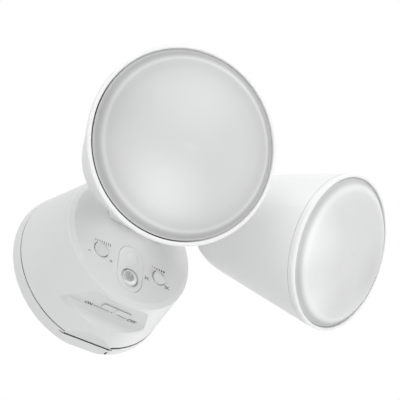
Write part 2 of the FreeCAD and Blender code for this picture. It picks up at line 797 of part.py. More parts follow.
def dial(side):
    """A round dial with a roof-shaped grip, a flange behind the housing and a stem."""
    x = side * dial_x
    off_centre = hypot(dial_x, dial_z)
    face_y = front_y + dish_depth * (1 - (off_centre / dish_radius) ** 2)
    ridge_y = face_y - dial_ridge_height
    back = inner_front_y + fit_gap
    wide = dial_radius + 1
    drop = dial_ridge_height / dial_radius * wide
    roof = [(-wide, back, 0), (-wide, ridge_y + drop, 0), (0, ridge_y, 0.6), (wide, ridge_y + drop, 0),
            (wide, back, 0)]
    wire = rounded_outline(roof, lambda u, v: vec(u, v, -wide))
    body = Part.Face(wire).extrude(vec(0, 0, 2 * wide))
    body = body.common(rod(dial_radius, vec(0, back, 0), vec(0, ridge_y - 1, 0)))
    flange = rod(dial_flange_radius, vec(0, back + dial_flange_thickness, 0), vec(0, back, 0))
    stem_end = back + dial_flange_thickness + dial_stem_length
    stem = rod(dial_stem_radius, vec(0, stem_end, 0), vec(0, back, 0))
    body = body.fuse(flange).fuse(stem).removeSplitter()
    body.rotate(vec(0, 0, 0), vec(0, 1, 0), 90 - dial_turn)
    return body.translated(vec(x, 0, dial_z))


def mode_slider():
    """The slide switch's knob in its middle place: a thin plate with a thumb bar, and a stem."""
    back = recess_floor_z - slider_gap
    low = back - slider_thickness
    plate = switch_panel(slider_length, slider_width, slider_corner, low, back)
    half_bar = slider_bar_width / 2
    half_y = slider_width / 2
    bar = block((switch_x - half_bar, switch_y - half_y, low - slider_bar_proud),
                (switch_x + half_bar, switch_y + half_y, back))
    bar = rounded(bar, slider_bar_proud * 0.8,
                  lambda edge: edge.BoundBox.ZMax < low - slider_bar_proud + 0.01)
    stem = block((switch_x - slider_stem_length / 2, switch_y - slider_stem_width / 2, low),
                 (switch_x + slider_stem_length / 2, switch_y + slider_stem_width / 2,
                  recess_floor_z + slider_stem_height))
    return plate.fuse(bar).fuse(stem).removeSplitter()


def mode_switch():
    """The slide switch's body, standing on the recess floor inside the housing."""
    floor = recess_floor_z + housing_wall
    body = switch_panel(switch_body_length, switch_body_width, 0, floor, floor + switch_body_height)
    reach = switch_slit_length / 2
    top = recess_floor_z + slider_stem_height + fit_gap
    return body.cut(block((switch_x - reach, switch_y - slider_stem_width / 2 - fit_gap, floor - 1),
                          (switch_x + reach, switch_y + slider_stem_width / 2 + fit_gap, top)))


# The arms


def arm_saddle():
    saddle = saddle_panel(0, saddle_back_y, saddle_front_y)
    saddle = rounded(saddle, saddle_edge_round, lambda edge: edge.BoundBox.YMax < saddle_front_y + 0.01)
    for side in (-1, 1):
        x = side * arm_root_x
        saddle = saddle.cut(rod(arm_bore_radius, vec(x, 0, pan_height), vec(x, -beyond, pan_height)))
        for up in (-1, 1):
            z = pan_height + up * arm_screw_offset
            saddle = saddle.cut(rod(screw_radius + fit_gap, vec(x, 0, z), vec(x, -beyond, z)))
    return saddle


def saddle_gasket():
    gasket = saddle_panel(0, saddle_seat_y, saddle_back_y)
    for side in (-1, 1):
        x = side * arm_root_x
        gasket = gasket.cut(rod(arm_bore_radius, vec(x, 0, pan_height), vec(x, -beyond, pan_height)))
        for up in (-1, 1):
            z = pan_height + up * arm_screw_offset
            gasket = gasket.cut(rod(screw_radius + fit_gap, vec(x, 0, z), vec(x, -beyond, z)))
    return gasket


def arm():
    """The left arm: a round flange, a hollow stub and the eye for the pan pin."""
    root = vec(-arm_root_x, saddle_front_y, pan_height)
    flange_front = root + vec(0, -arm_flange_thickness, 0)
    flange = rod(arm_flange_radius, root, flange_front)
    flange = rounded(flange, 1.0, lambda edge: edge.BoundBox.YMax < flange_front.y + 0.01)
    neck = root + vec(0, -arm_flange_thickness / 2, 0)
    stub = rod(arm_radius, neck, pan_point)
    elbow = Part.makeSphere(arm_radius, neck).common(rod(beyond, root, root + vec(0, -beyond, 0)))
    half = pan_eye_height / 2
    low = pan_point - vec(0, 0, half)
    high = pan_point + vec(0, 0, half)
    eye = rod(pan_eye_radius, low, high)
    body = flange.fuse(stub.cut(block((-beyond, root.y, -beyond), (beyond, 0, beyond)))).fuse(elbow)
    body = body.common(block((-beyond, -beyond, low.z), (beyond, 0, high.z)).fuse(
        rod(arm_flange_radius, root, flange_front)))
    body = body.fuse(eye)
    keep_out = rod(pan_eye_radius + knuckle_gap, pan_point + vec(0, 0, half), pan_point + vec(0, 0, 30))
    body = body.cut(keep_out).cut(keep_out.mirror(pan_point, vec(0, 0, 1)))
    body = body.cut(rod(pivot_bolt_radius + pin_clearance, low - vec(0, 0, 9), high + vec(0, 0, 9)))
    along = pan_point - neck
    direction = along * (1 / along.Length)
    stop = pan_point - direction * (pan_eye_radius + 1.5)
    body = body.cut(rod(arm_bore_radius, neck, stop))
    body = body.cut(rod(arm_bore_radius, root + vec(0, 1, 0), neck))
    body = body.cut(Part.makeSphere(arm_bore_radius, neck))
    for up in (-1, 1):
        z = pan_height + up * arm_screw_offset
        body = body.cut(rod(screw_radius * 0.8, vec(root.x, root.y + 1, z),
                            vec(root.x, root.y - arm_flange_thickness + 0.9, z)))
    return body.removeSplitter()


def arm_screws():
    screws = []
    for side in (-1, 1):
        for up in (-1, 1):
            x = side * arm_root_x
            z = pan_height + up * arm_screw_offset
            screws.append(screw(vec(x, inner_front_y + screw_head_height, z),
                                vec(x, saddle_front_y - arm_flange_thickness + 1.2, z),
                                screw_radius * 0.79, screw_head_radius, screw_head_height))
    return screws


def arm_leads():
    """The lamp lead inside the base and each arm, as far as the arm's pivot."""
    leads = []
    for side in (-1, 1):
        radius = 1.6
        root = vec(side * arm_root_x, saddle_front_y, pan_height)
        neck = root + vec(0, -arm_flange_thickness / 2, 0)
        pin = vec(side * pan_axis_x, pan_axis_y, pan_height)
        along = pin - neck
        direction = along * (1 / along.Length)
        stop = pin - direction * (pan_eye_radius + 2.5)
        start = vec(root.x, driver_y - board_thickness, pan_height)
        run = 5.0
        turn_start = neck + vec(0, run, 0)
        turn_end = neck + direction * run
        bisect = (vec(0, 1, 0) + direction)
        bisect.normalize()
        half = 0.5 * vec(0, 1, 0).getAngle(direction)
        bend = run * tan(half)
        middle = neck + bisect * (bend / sin(half) - bend)
        path = Part.Wire([Part.LineSegment(start, turn_start).toShape(),
                          Part.Arc(turn_start, middle, turn_end).toShape(),
                          Part.LineSegment(turn_end, stop).toShape()])
        circle = Part.Wire(Part.makeCircle(radius, start, vec(0, -1, 0)))
        lead = path.makePipeShell([circle], True, False)
        leads.append(lead)
    return leads


def pivot_bolt(centre, along, half_length):
    """A socket-head pivot bolt whose far end is threaded into the far ear of its fork."""
    start = centre - along * half_length
    end = centre + along * half_length
    shank = rod(pivot_bolt_radius, start - along * (pivot_head_height / 2), end)
    outside = start - along * pivot_head_height
    head = Part.makeCylinder(pivot_head_radius, pivot_head_height, outside, along)
    head = rounded(head, 0.7, lambda edge: edge.CenterOfMass.sub(outside).Length < 0.1)
    bolt = shank.fuse(head)
    return bolt.cut(hexagon(pivot_socket_radius * 2, 1.5, outside, along)).removeSplitter()


def knuckle():
    """The link between the two pins: a fork on the arm's eye and an eye for the head."""
    along = heading
    side = tilt_axis
    up = vec(0, 0, 1)
    half = pan_eye_height / 2 + washer_thickness + washer_clearance
    reach = half + ear_thickness
    ears = rod(pan_eye_radius, pan_point - up * reach, pan_point + up * reach)
    bridge = oriented_box(pan_point, along, side, up, (0, knuckle_reach - 4.0),
                          (-knuckle_width / 2, knuckle_width / 2), (-reach, reach))
    body = ears.fuse(bridge)
    eye = rod(tilt_eye_radius, tilt_point - side * (knuckle_width / 2),
              tilt_point + side * (knuckle_width / 2))
    body = body.fuse(eye)
    gap = rod(pan_eye_radius + knuckle_gap, pan_point - up * half, pan_point + up * half)
    body = body.cut(gap)
    body = body.cut(oriented_box(pan_point, along, side, up, (-20, 0), (-20, 20), (-half, half)))
    bore = pivot_bolt_radius
    body = body.cut(rod(bore, pan_point - up * 20, pan_point + up * 20))
    body = body.cut(rod(bore + pin_clearance, tilt_point - side * 20, tilt_point + side * 20))
    return body.removeSplitter()


def oriented_box(origin, x_axis, y_axis, z_axis, x_span, y_span, z_span):
    """A box on three square axes, from spans along each."""
    corner = origin + x_axis * x_span[0] + y_axis * y_span[0] + z_axis * z_span[0]
    points = [corner, corner + x_axis * (x_span[1] - x_span[0])]
    points.append(points[1] + y_axis * (y_span[1] - y_span[0]))
    points.append(corner + y_axis * (y_span[1] - y_span[0]))
    points.append(corner)
    return Part.Face(Part.makePolygon(points)).extrude(z_axis * (z_span[1] - z_span[0]))


def pan_washers():
    half = pan_eye_height / 2 + washer_clearance
    rings = []
    for up in (-1, 1):
        start = pan_point + vec(0, 0, up * half)
        end = pan_point + vec(0, 0, up * (half + washer_thickness))
        rings.append(rod(pan_eye_radius - 0.6, start, end).cut(rod(pivot_bolt_radius, start, end)))
    return rings


def tilt_washers():
    half = knuckle_width / 2 + washer_clearance
    rings = []
    for out in (-1, 1):
        start = tilt_point + tilt_axis * (out * half)
        end = tilt_point + tilt_axis * (out * (half + washer_thickness))
        rings.append(rod(tilt_eye_radius - 0.6, start, end).cut(rod(pivot_bolt_radius, start, end)))
    return rings


# The heads, drawn on their own axis and then hung


def hung(shape):
    """Place a head piece, drawn with its rim face at the origin and facing +Z, where it hangs."""
    matrix = FreeCAD.Matrix(tilt_axis.x, head_upward.x, head_forward.x, head_point.x,
                            tilt_axis.y, head_upward.y, head_forward.y, head_point.y,
                            tilt_axis.z, head_upward.z, head_forward.z, head_point.z,
                            0, 0, 0, 1)
    moved = shape.copy()
    moved.Placement = FreeCAD.Placement(matrix).multiply(moved.Placement)
    return moved


def shell_profile(inset, start_depth):
    """Edges of the head's outline from start_depth to its rear centre, moved in by inset."""
    def at(radius, depth):
        return vec(radius, 0, -depth)

    first = head_rim_radius - head_cone_slope * start_depth - inset
    shoulder = head_shoulder_radius - inset
    rear_depth = head_length - inset
    rear = head_rear_radius - inset
    axial = rear_depth - head_shoulder_length
    radial = shoulder - rear
    round_share = 0.5523
    curve = Part.BezierCurve()
    curve.setPoles([at(shoulder, head_shoulder_length),
                    at(shoulder - head_cone_slope * axial * round_share,
                       head_shoulder_length + axial * round_share),
                    at(rear + radial * round_share, rear_depth), at(rear, rear_depth)])
    edges = [Part.LineSegment(at(first, start_depth), at(shoulder, head_shoulder_length)).toShape(),
             curve.toShape(), Part.LineSegment(at(rear, rear_depth), at(0, rear_depth)).toShape()]
    return edges, at(first, start_depth), at(0, start_depth), at(0, rear_depth)


def shell_solid(inset, start_depth):
    edges, first, axis_start, axis_end = shell_profile(inset, start_depth)
    edges = [Part.LineSegment(axis_start, first).toShape()] + edges
    edges.append(Part.LineSegment(axis_end, axis_start).toShape())
    return Part.Face(Part.Wire(edges)).revolve(vec(0, 0, 0), vec(0, 0, 1), 360)


def shell_start():
    return head_rim_depth + head_groove_width


def lug_places():
    return [(lug_circle * cos(radians(a)), lug_circle * sin(radians(a))) for a in (90, 210, 330)]


def head_shell():
    start = shell_start()
    outer = shell_solid(0, start)
    mouth = mouth_depth()
    outer = outer.fuse(Part.makeCylinder(lens_pocket_radius() - 0.1, start - mouth, vec(0, 0, -start)))
    inner = shell_solid(head_wall, start + ledge_depth)
    shell = outer.cut(inner)
    shell = shell.cut(Part.makeCylinder(mouth_opening(), 20, vec(0, 0, -start - ledge_depth)))
    back = sink_back
    for x, y in lug_places():
        lug = Part.makeCylinder(lug_radius, lug_length, vec(x, y, -back - lug_length))
        shell = shell.fuse(lug.common(shell_solid(head_wall / 2, start)))
        shell = shell.cut(Part.makeCylinder(screw_radius * 0.8, 9, vec(x, y, -back - 8)))
    for side in (-1, 1):
        shell = shell.cut(Part.makeCylinder(screw_radius + 0.1, 9,
                                            vec(side * bracket_screw_x(), 0, -head_length - 3)))
    return shell.removeSplitter()


def bracket_screw_x():
    return knuckle_width / 2 + washer_clearance + washer_thickness + bracket_ear_thickness / 2


def lens_pocket_radius():
    """Inside of the rim's skirt, which holds the lens and gasket and fits over the shell's mouth."""
    return head_rim_radius - rim_skirt


def lens_edge_radius():
    return lens_pocket_radius() - fit_gap


def mouth_depth():
    """Where the shell's mouth meets the gasket, behind the rim face."""
    return rim_lip + lens_flange_thickness + lens_gasket_thickness


def head_rim():
    """The front ring that holds the lens, with a skirt that fits over the shell's mouth."""
    outer = head_rim_radius
    behind = head_rim_depth
    hold = lens_pocket_radius()
    return head_turned([(head_lens_opening, 0, 0.5), (outer, 0, head_rim_round),
                        (outer - head_cone_slope * behind, behind, 0.2),
                        (hold, behind, 0), (hold, rim_lip, 0), (head_lens_opening, rim_lip, 0)])


def head_lens():
    """The frosted front: a flange under the rim, a rounded shoulder and a gently crowned middle."""
    edge = head_lens_opening - lens_gap
    back = rim_lip + lens_flange_thickness
    flange = Part.makeCylinder(lens_edge_radius(), lens_flange_thickness, vec(0, 0, -back))
    return dome(edge, 0, back).fuse(flange).cut(dome(edge, lens_wall, back + 1)).removeSplitter()


def dome(edge, inset, back):
    """The lens's outer form moved in by inset, closed at the depth back."""
    def at(radius, height):
        return vec(radius, 0, height)

    radius = edge - inset
    flat = edge - lens_shoulder
    top = lens_rise - inset
    low = -1.0 - inset
    crown_radius = (flat ** 2 + lens_crown ** 2) / (2 * lens_crown)
    corner = radius - lens_flank_lean
    fall = flat / sqrt(crown_radius ** 2 - flat ** 2)
    corner_height = top - fall * (corner - flat)
    pull = lens_flank_pull
    shoulder = Part.BezierCurve()
    shoulder.setPoles([at(radius, low),
                       at(radius - lens_flank_lean * pull, low + (corner_height - low) * pull),
                       at(flat + (corner - flat) * pull, top - fall * (corner - flat) * pull),
                       at(flat, top)])
    half = flat / 2
    mid_height = top + lens_crown - (crown_radius - sqrt(crown_radius ** 2 - half ** 2))
    crown = Part.Arc(at(flat, top), at(half, mid_height), at(0, top + lens_crown)).toShape()
    edges = [Part.LineSegment(at(0, -back), at(radius, -back)).toShape(),
             Part.LineSegment(at(radius, -back), at(radius, low)).toShape(),
             shoulder.toShape(), crown,
             Part.LineSegment(at(0, top + lens_crown), at(0, -back)).toShape()]
    return Part.Face(Part.Wire(edges)).revolve(vec(0, 0, 0), vec(0, 0, 1), 360)


def lens_gasket():
    outer = lens_edge_radius()
    front = rim_lip + lens_flange_thickness
    back = mouth_depth()
    inner = mouth_opening() + 0.2
    return head_turned([(inner, front, 0), (outer, front, 0), (outer, back, 0), (inner, back, 0)])


def mouth_opening():
    return head_rim_radius - head_cone_slope * shell_start() - ledge_width


def reflector():
    """A white cone that lines the head from the LED board to the lens."""
    front = shell_start() + 1.0
    outer_front = mouth_opening() - 0.3
    back = led_plane
    outer_back = lug_circle - screw_head_radius - fit_gap
    wall = 1.4
    return head_turned([(outer_front, front, 0), (outer_back, back, 0),
                        (outer_back - wall, back, 0), (outer_front - wall, front, 0)])


def led_board():
    board = Part.makeCylinder(led_board_radius, board_thickness,
                              vec(0, 0, -led_plane - board_thickness))
    for x, y in lug_places():
        board = board.cut(Part.makeCylinder(screw_head_radius + 0.3, 9,
                                            vec(x, y, -led_plane - board_thickness)))
    chips = [board]
    half = led_size / 2
    for ring, count in zip(led_ring_radii, led_ring_counts):
        for i in range(count):
            angle = 2 * pi * i / count
            x, y = ring * cos(angle), ring * sin(angle)
            chips.append(block((x - half, y - half, -led_plane), (x + half, y + half,
                                                                  -led_plane + led_height)))
    return chips


def heat_sink():
    top = -led_plane - board_thickness
    sink = Part.makeCylinder(sink_radius, sink_thickness, vec(0, 0, top - sink_thickness))
    for i in range(sink_fin_count):
        x = (i - (sink_fin_count - 1) / 2) * sink_fin_pitch
        half = sqrt((sink_radius - sink_fin_inset) ** 2 - x * x)
        sink = sink.fuse(block((x - sink_fin_thickness / 2, -half, top - sink_thickness - sink_fin_length),
                               (x + sink_fin_thickness / 2, half, top - sink_thickness)))
    for x, y in lug_places():
        sink = sink.cut(Part.makeCylinder(screw_radius + 0.2, 20, vec(x, y, top - 10)))
    return sink.removeSplitter()


def board_screws():
    top = -led_plane - board_thickness
    return [screw(vec(x, y, top + screw_head_height), vec(x, y, top - sink_thickness - 7),
                  screw_radius * 0.79, screw_head_radius, screw_head_height)
            for x, y in lug_places()]


def head_bracket():
    """The fork on the head's rear flat that takes the tilt pin."""
    pin = -head_length - head_setback
    inner = knuckle_width / 2 + washer_clearance + washer_thickness
    outer = inner + bracket_ear_thickness
    w, h = bracket_pad_width / 2, bracket_pad_height / 2
    corners = [(-w, -h, 3), (w, -h, 3), (w, h, 3), (-w, h, 3)]
    wire = rounded_outline(corners, lambda u, v: vec(u, v, -head_length))
    bracket = Part.Face(wire).extrude(vec(0, 0, -bracket_pad_thickness))
    for side in (-1, 1):
        low, high = min(side * inner, side * outer), max(side * inner, side * outer)
        ear = block((low, -tilt_eye_radius, pin), (high, tilt_eye_radius, -head_length - 1))
        ear = ear.fuse(rod(tilt_eye_radius, vec(low, 0, pin), vec(high, 0, pin)))
        bracket = bracket.fuse(ear)
    bracket = bracket.cut(rod(pivot_bolt_radius, vec(-40, 0, pin), vec(40, 0, pin)))
    for side in (-1, 1):
        bracket = bracket.cut(Part.makeCylinder(screw_radius * 0.8, 8,
                                                vec(side * bracket_screw_x(), 0, -head_length - 8)))
    return bracket.removeSplitter()


def bracket_screws():
    start = -head_length + head_wall + screw_head_height
    return [screw(vec(side * bracket_screw_x(), 0, start),
                  vec(side * bracket_screw_x(), 0, -head_length - 7),
                  screw_radius * 0.79, screw_head_radius, screw_head_height) for side in (-1, 1)]


def tilt_bolt():
    inner = knuckle_width / 2 + washer_clearance + washer_thickness
    return pivot_bolt(tilt_point, tilt_axis, inner + bracket_ear_thickness)


def pan_bolt():
    half = pan_eye_height / 2 + washer_thickness + washer_clearance + ear_thickness
    return pivot_bolt(pan_point, vec(0, 0, 1), half)


def main():
    os.makedirs("parts", exist_ok=True)
    save("back_plate", [back_plate()])
    save("crossbar", [crossbar()])
    save("earth_screw", [earth_screw()])
    save("lock_spring", [lock_spring()])
    save("wall_gasket", [wall_gasket()])
    save("wire_grommet", [wire_grommet()])
    save("body_seal", [body_seal()])
    save("base_housing", [base_housing()])
    save("housing_screws", housing_screws())
    save("driver_board", [driver_board()])
    save("driver_parts", driver_parts())
    save("driver_screws", driver_screws())
    save("terminal_block", [terminal_block()])
    save("sensor_board", sensor_board())
    save("pir_detector", [pir_detector()])
    save("sensor_plate", [sensor_plate()])
    save("photocell_window", [photocell_window()])
    save("sensor_lens", [sensor_lens()])
    save("dial_controls", dial_controls())
    save("dimmer_dial", [dial(-1)])
    save("colour_dial", [dial(1)])
    save("mode_slider", [mode_slider()])
    save("mode_switch", [mode_switch()])
    save("arm_saddle", [arm_saddle()])
    save("saddle_gasket", [saddle_gasket()])
    save("arm_screws", arm_screws())
    save("arm_leads", arm_leads())
    save_pair("arm", [arm()])
    save_pair("knuckle", [knuckle()])
    save_pair("pan_bolt", [pan_bolt()])
    save_pair("pan_washers", pan_washers())
    save_pair("tilt_bolt", [tilt_bolt()])
    save_pair("tilt_washers", tilt_washers())
    save_pair("head_bracket", [hung(head_bracket())])
    save_pair("bracket_screws", [hung(shape) for shape in bracket_screws()])
    save_pair("head_shell", [hung(head_shell())])
    save_pair("head_rim", [hung(head_rim())])
    save_pair("head_lens", [hung(head_lens())])
    save_pair("lens_gasket", [hung(lens_gasket())])
    save_pair("reflector", [hung(reflector())])
    save_pair("led_board", [hung(shape) for shape in led_board()])
    save_pair("heat_sink", [hung(heat_sink())])
    save_pair("board_screws", [hung(shape) for shape in board_screws()])


main()
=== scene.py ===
import math

import bmesh
import bpy
from mathutils import Matrix, Vector


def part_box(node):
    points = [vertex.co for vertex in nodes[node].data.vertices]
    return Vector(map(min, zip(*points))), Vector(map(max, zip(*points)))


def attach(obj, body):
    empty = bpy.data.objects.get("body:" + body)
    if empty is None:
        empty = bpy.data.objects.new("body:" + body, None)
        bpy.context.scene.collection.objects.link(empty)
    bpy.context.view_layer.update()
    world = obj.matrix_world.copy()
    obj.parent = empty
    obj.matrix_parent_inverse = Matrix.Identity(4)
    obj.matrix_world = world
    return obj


# A twin-head motion sensor security light, as it hangs on a wall: moulded base, two arms, two
# lamps. Lengths are in metres. The wall is the plane Y = 0, the light faces -Y and +Z is up.
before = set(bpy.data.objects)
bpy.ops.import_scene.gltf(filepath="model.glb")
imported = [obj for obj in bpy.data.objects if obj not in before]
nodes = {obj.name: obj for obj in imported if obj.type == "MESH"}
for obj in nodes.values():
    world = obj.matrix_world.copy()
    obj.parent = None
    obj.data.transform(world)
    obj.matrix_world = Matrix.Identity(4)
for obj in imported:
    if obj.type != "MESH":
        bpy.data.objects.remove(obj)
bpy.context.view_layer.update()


# The view and the light: from below and to the left, as a person at the door sees it, in a pale
# studio with broad soft lamps. The floor lies well below, because the light hangs on a wall.
class Link:
    """The output of a node, which can be used in a sum. Each sum adds its Math nodes."""

    def __init__(self, maker, socket):
        self.maker, self.socket = maker, socket

    def other(self, name):
        """Another output of the same node."""
        return Link(self.maker, self.socket.node.outputs[name])

    def __add__(self, other):
        return self.maker.maths("ADD", self, other)

    def __sub__(self, other):
        return self.maker.maths("SUBTRACT", self, other)

    def __rsub__(self, other):
        return self.maker.maths("SUBTRACT", other, self)

    def __mul__(self, other):
        return self.maker.maths("MULTIPLY", self, other)

    def __truediv__(self, other):
        return self.maker.maths("DIVIDE", self, other)

    def __gt__(self, other):
        return self.maker.maths("GREATER_THAN", self, other)

    def __lt__(self, other):
        return self.maker.maths("LESS_THAN", self, other)

    def __abs__(self):
        return self.maker.maths("ABSOLUTE", self)

    __radd__ = __add__
    __rmul__ = __mul__


class Nodes:
    """A node tree that is filled one node at a time."""

    def __init__(self, tree):
        self.tree = tree

    def node(self, kind, settings=None, values=None, output=0):
        """Add a node: its settings first, then the values or links of its sockets."""
        made = self.tree.nodes.new(kind)
        for setting, value in (settings or {}).items():
            if setting == "stops":
                ramp = made.color_ramp
                for place, _ in value[1:-1]:
                    ramp.elements.new(place)
                for stop, (place, grey) in zip(ramp.elements, value):
                    stop.position, stop.color = place, (grey, grey, grey, 1)
            else:
                setattr(made, setting, value)
        for key, value in (values or {}).items():
            self.feed(made.inputs[key], value)
        return Link(self, made.outputs[output])

    def feed(self, socket, value):
        if isinstance(value, Link):
            self.tree.links.new(value.socket, socket)
        else:
            socket.default_value = value

    def maths(self, operation, *values):
        return self.node("ShaderNodeMath", {"operation": operation}, dict(enumerate(values)))


class Finish(Nodes):
    """One finish: a Principled shader with plain values, and patterns fed into it."""

    def __init__(self, name, fixed):
        self.material = bpy.data.materials.new(name)
        self.material.use_nodes = True
        super().__init__(self.material.node_tree)
        self.shader = self.tree.nodes["Principled BSDF"]
        self.coordinates = self.node("ShaderNodeTexCoord", output="Object")
        for socket, value in fixed.items():
            self.set(socket, value)

    def set(self, socket, value):
        self.feed(self.shader.inputs[socket], value)

    def noise(self, scale, detail=2.0, stretch=(1, 1, 1)):
        """Soft noise from 0 to 1, with its scale per metre."""
        place = self.coordinates
        if stretch != (1, 1, 1):
            place = self.vector("MULTIPLY", place, stretch)
        return self.node("ShaderNodeTexNoise", {},
                         {"Vector": place, "Scale": scale, "Detail": detail})

    def vector(self, operation, *values, output=0):
        return self.node("ShaderNodeVectorMath", {"operation": operation},
                         dict(enumerate(values)), output)

    def distance(self, middle, axes=(1, 1, 1)):
        """How far a place is from the middle, along the axes that are 1."""
        offset = self.vector("SUBTRACT", self.coordinates, tuple(middle))
        if axes != (1, 1, 1):
            offset = self.vector("MULTIPLY", offset, axes)
        return self.vector("LENGTH", offset, output="Value")

    def axes(self):
        """The place's X, Y and Z."""
        split = self.node("ShaderNodeSeparateXYZ", {}, {0: self.coordinates})
        return split, split.other("Y"), split.other("Z")

    def step(self, value, low, high):
        """0 below low and 1 above high, smooth between."""
        return self.node("ShaderNodeMapRange", {"interpolation_type": "SMOOTHSTEP"},
                         {"Value": value, "From Min": low, "From Max": high})

    def blend(self, amount, first, second):
        """A colour from first to second. A plain number is a grey."""
        colours = [(c, c, c) if isinstance(c, float) else c for c in (first, second)]
        colours = [(*c, 1) if isinstance(c, tuple) else c for c in colours]
        return self.node("ShaderNodeMix", {"data_type": "RGBA"},
                         {0: amount, 6: colours[0], 7: colours[1]}, 2)

    def shade(self, colour, amount):
        """A colour made darker: amount is the grey that it is multiplied by."""
        settings = {"data_type": "RGBA", "blend_type": "MULTIPLY"}
        return self.node("ShaderNodeMix", settings, {0: 1.0, 6: colour, 7: amount}, 2)

    def bump(self, height, distance):
        self.set("Normal", self.node("ShaderNodeBump", {}, {"Height": height,
                                                            "Distance": distance}))

    def mottle(self, scale, first, second, rough=None, relief=None, **noise):
        """One soft noise for it all: the colour goes from first to second, the roughness is a
        least value and what the noise adds, and the relief is the height of the bumps."""
        tone = self.noise(scale, **noise)
        self.set("Base Color", self.blend(tone, first, second))
        if rough:
            self.set("Roughness", rough[0] + tone * rough[1])
        if relief:
            self.bump(tone, relief)

    def wear(self, *names):
        """Give this finish to the named sub-parts."""
        for name in names:
            nodes[name].material_slots[0].material = self.material


def placed(name, data):
    """A new object in the scene, with the given mesh, light or camera."""
    made = bpy.data.objects.new(name, data)
    bpy.context.scene.collection.objects.link(made)
    return made


def finished_mesh(carrier):
    """The plain mesh that an object's curve or modifiers make. The object is then removed."""
    bpy.context.view_layer.update()
    mesh = bpy.data.meshes.new_from_object(
        carrier.evaluated_get(bpy.context.evaluated_depsgraph_get()))
    bpy.data.objects.remove(carrier)
    return mesh


view_azimuth, view_elevation, view_roll = 42.730, 43.760, -0.2585
view_place = Vector((-0.15008, -0.28368, -0.22161))
lens_length, film_width, nearest, farthest = 43.889, 36, 0.01, 20

azimuth, elevation, roll = (
    math.radians(angle) for angle in (view_azimuth, view_elevation, view_roll))
forward = Vector((math.sin(azimuth) * math.cos(elevation),
                  math.cos(azimuth) * math.cos(elevation), math.sin(elevation)))
level = Vector((math.cos(azimuth), -math.sin(azimuth), 0))
upright = level.cross(forward)
right = level * math.cos(roll) + upright * math.sin(roll)
above = upright * math.cos(roll) - level * math.sin(roll)

camera = placed("camera", bpy.data.cameras.new("camera"))
camera.data.lens, camera.data.sensor_width = lens_length, film_width
camera.data.clip_start, camera.data.clip_end = nearest, farthest
camera.matrix_world = Matrix((
    (right.x, above.x, -forward.x, view_place.x), (right.y, above.y, -forward.y, view_place.y),
    (right.z, above.z, -forward.z, view_place.z), (0, 0, 0, 1)))
bpy.context.scene.camera = camera

surround = bpy.data.worlds.new("studio")
surround.use_nodes = True
bpy.context.scene.world = surround
sky = Nodes(surround.node_tree)
for old in list(sky.tree.nodes):
    sky.tree.nodes.remove(old)
ray = sky.node("ShaderNodeLightPath")
seen_direct, seen_glossy, seen_through = (
    ray.other(kind) for kind in ("Is Camera Ray", "Is Glossy Ray", "Is Transmission Ray"))
seen = sky.maths("MAXIMUM", seen_direct, sky.maths("MAXIMUM", seen_glossy, seen_through))
soft_light = sky.node("ShaderNodeBackground", {},
                      {"Color": (0.98, 0.99, 1.0, 1), "Strength": 0.56})
plain_white = sky.node("ShaderNodeBackground", {}, {"Color": (1, 1, 1, 1), "Strength": 1.0})
sky_mix = sky.node("ShaderNodeMixShader", {}, {0: seen, 1: soft_light, 2: plain_white})
sky.feed(sky.tree.nodes.new("ShaderNodeOutputWorld").inputs[0], sky_mix)

lamp_aim = Vector((0, -0.08, 0))
for lamp_name, where, lamp_size, watts in (
        ("front_softbox", (-0.15, -1.0, 0.05), 0.6, 1.5),
        ("high_front_softbox", (0.2, -0.8, 0.6), 0.6, 2.0),
        ("left_front_softbox", (-0.80, -0.75, 0.10), 0.6, 2.1),
        ("low_right_softbox", (0.70, -0.65, -0.40), 0.6, 2.6),
        ("right_back_softbox", (0.90, 0.42, -0.25), 0.6, 2.0),
        ("high_left_softbox", (-0.6, -0.27, 0.77), 0.36, 2.0),
        ("low_softbox", (-0.2, -0.2, -0.46), 0.6, 0.8)):
    lamp = placed(lamp_name, bpy.data.lights.new(lamp_name, "AREA"))
    lamp.data.shape, lamp.data.size, lamp.data.energy = "DISK", lamp_size, watts
    lamp.location = where
    lamp.rotation_euler = (lamp_aim - Vector(where)).to_track_quat("-Z", "Y").to_euler()

floor_level, floor_half = -0.50, 2.5
floor_mesh = bpy.data.meshes.new("floor")
floor_mesh.from_pydata([(x * floor_half, y * floor_half, floor_level) for x, y in
                        ((-1, -1), (1, -1), (1, 1), (-1, 1))], [], [(0, 1, 2, 3)])
floor = placed("floor", floor_mesh)
floor_paint = Finish("floor_paint", {"Roughness": 0.9, "Specular IOR Level": 0.1})
floor_paint.mottle(3.0, (0.86, 0.86, 0.855), (0.88, 0.88, 0.875))
floor_mesh.materials.append(floor_paint.material)
bpy.context.scene.view_settings.view_transform = "Standard"


# The crossbar, its earth screw and the lock spring: zinc-plated pressed steel behind the base. The
# bar screws to the junction box in the wall and the plate hangs on its two studs.
zinc = Finish("zinc_plated_steel", {"Metallic": 1.0})
spangle = zinc.node("ShaderNodeTexVoronoi", {}, {"Vector": zinc.coordinates, "Scale": 420.0},
                    "Color")
grain = zinc.node("ShaderNodeSeparateColor", {}, {0: spangle})
rolled = zinc.noise(900, 3.0, (0.08, 1, 1))
zinc.set("Base Color", zinc.blend(grain * 0.6 + rolled * 0.4, (0.50, 0.51, 0.53),
                                  (0.72, 0.72, 0.71)))
zinc.set("Roughness", 0.26 + grain * 0.12 + rolled * 0.10)
zinc.bump(rolled + grain * 0.3, 0.00002)
zinc.wear("crossbar", "lock_spring")

earth_green = Finish("earth_screw_green", {"Metallic": 0.6})
earth_green.mottle(700, (0.05, 0.30, 0.10), (0.10, 0.42, 0.16), rough=(0.3, 0.15),
                   relief=0.00001, detail=3.0)
earth_green.wear("earth_screw")


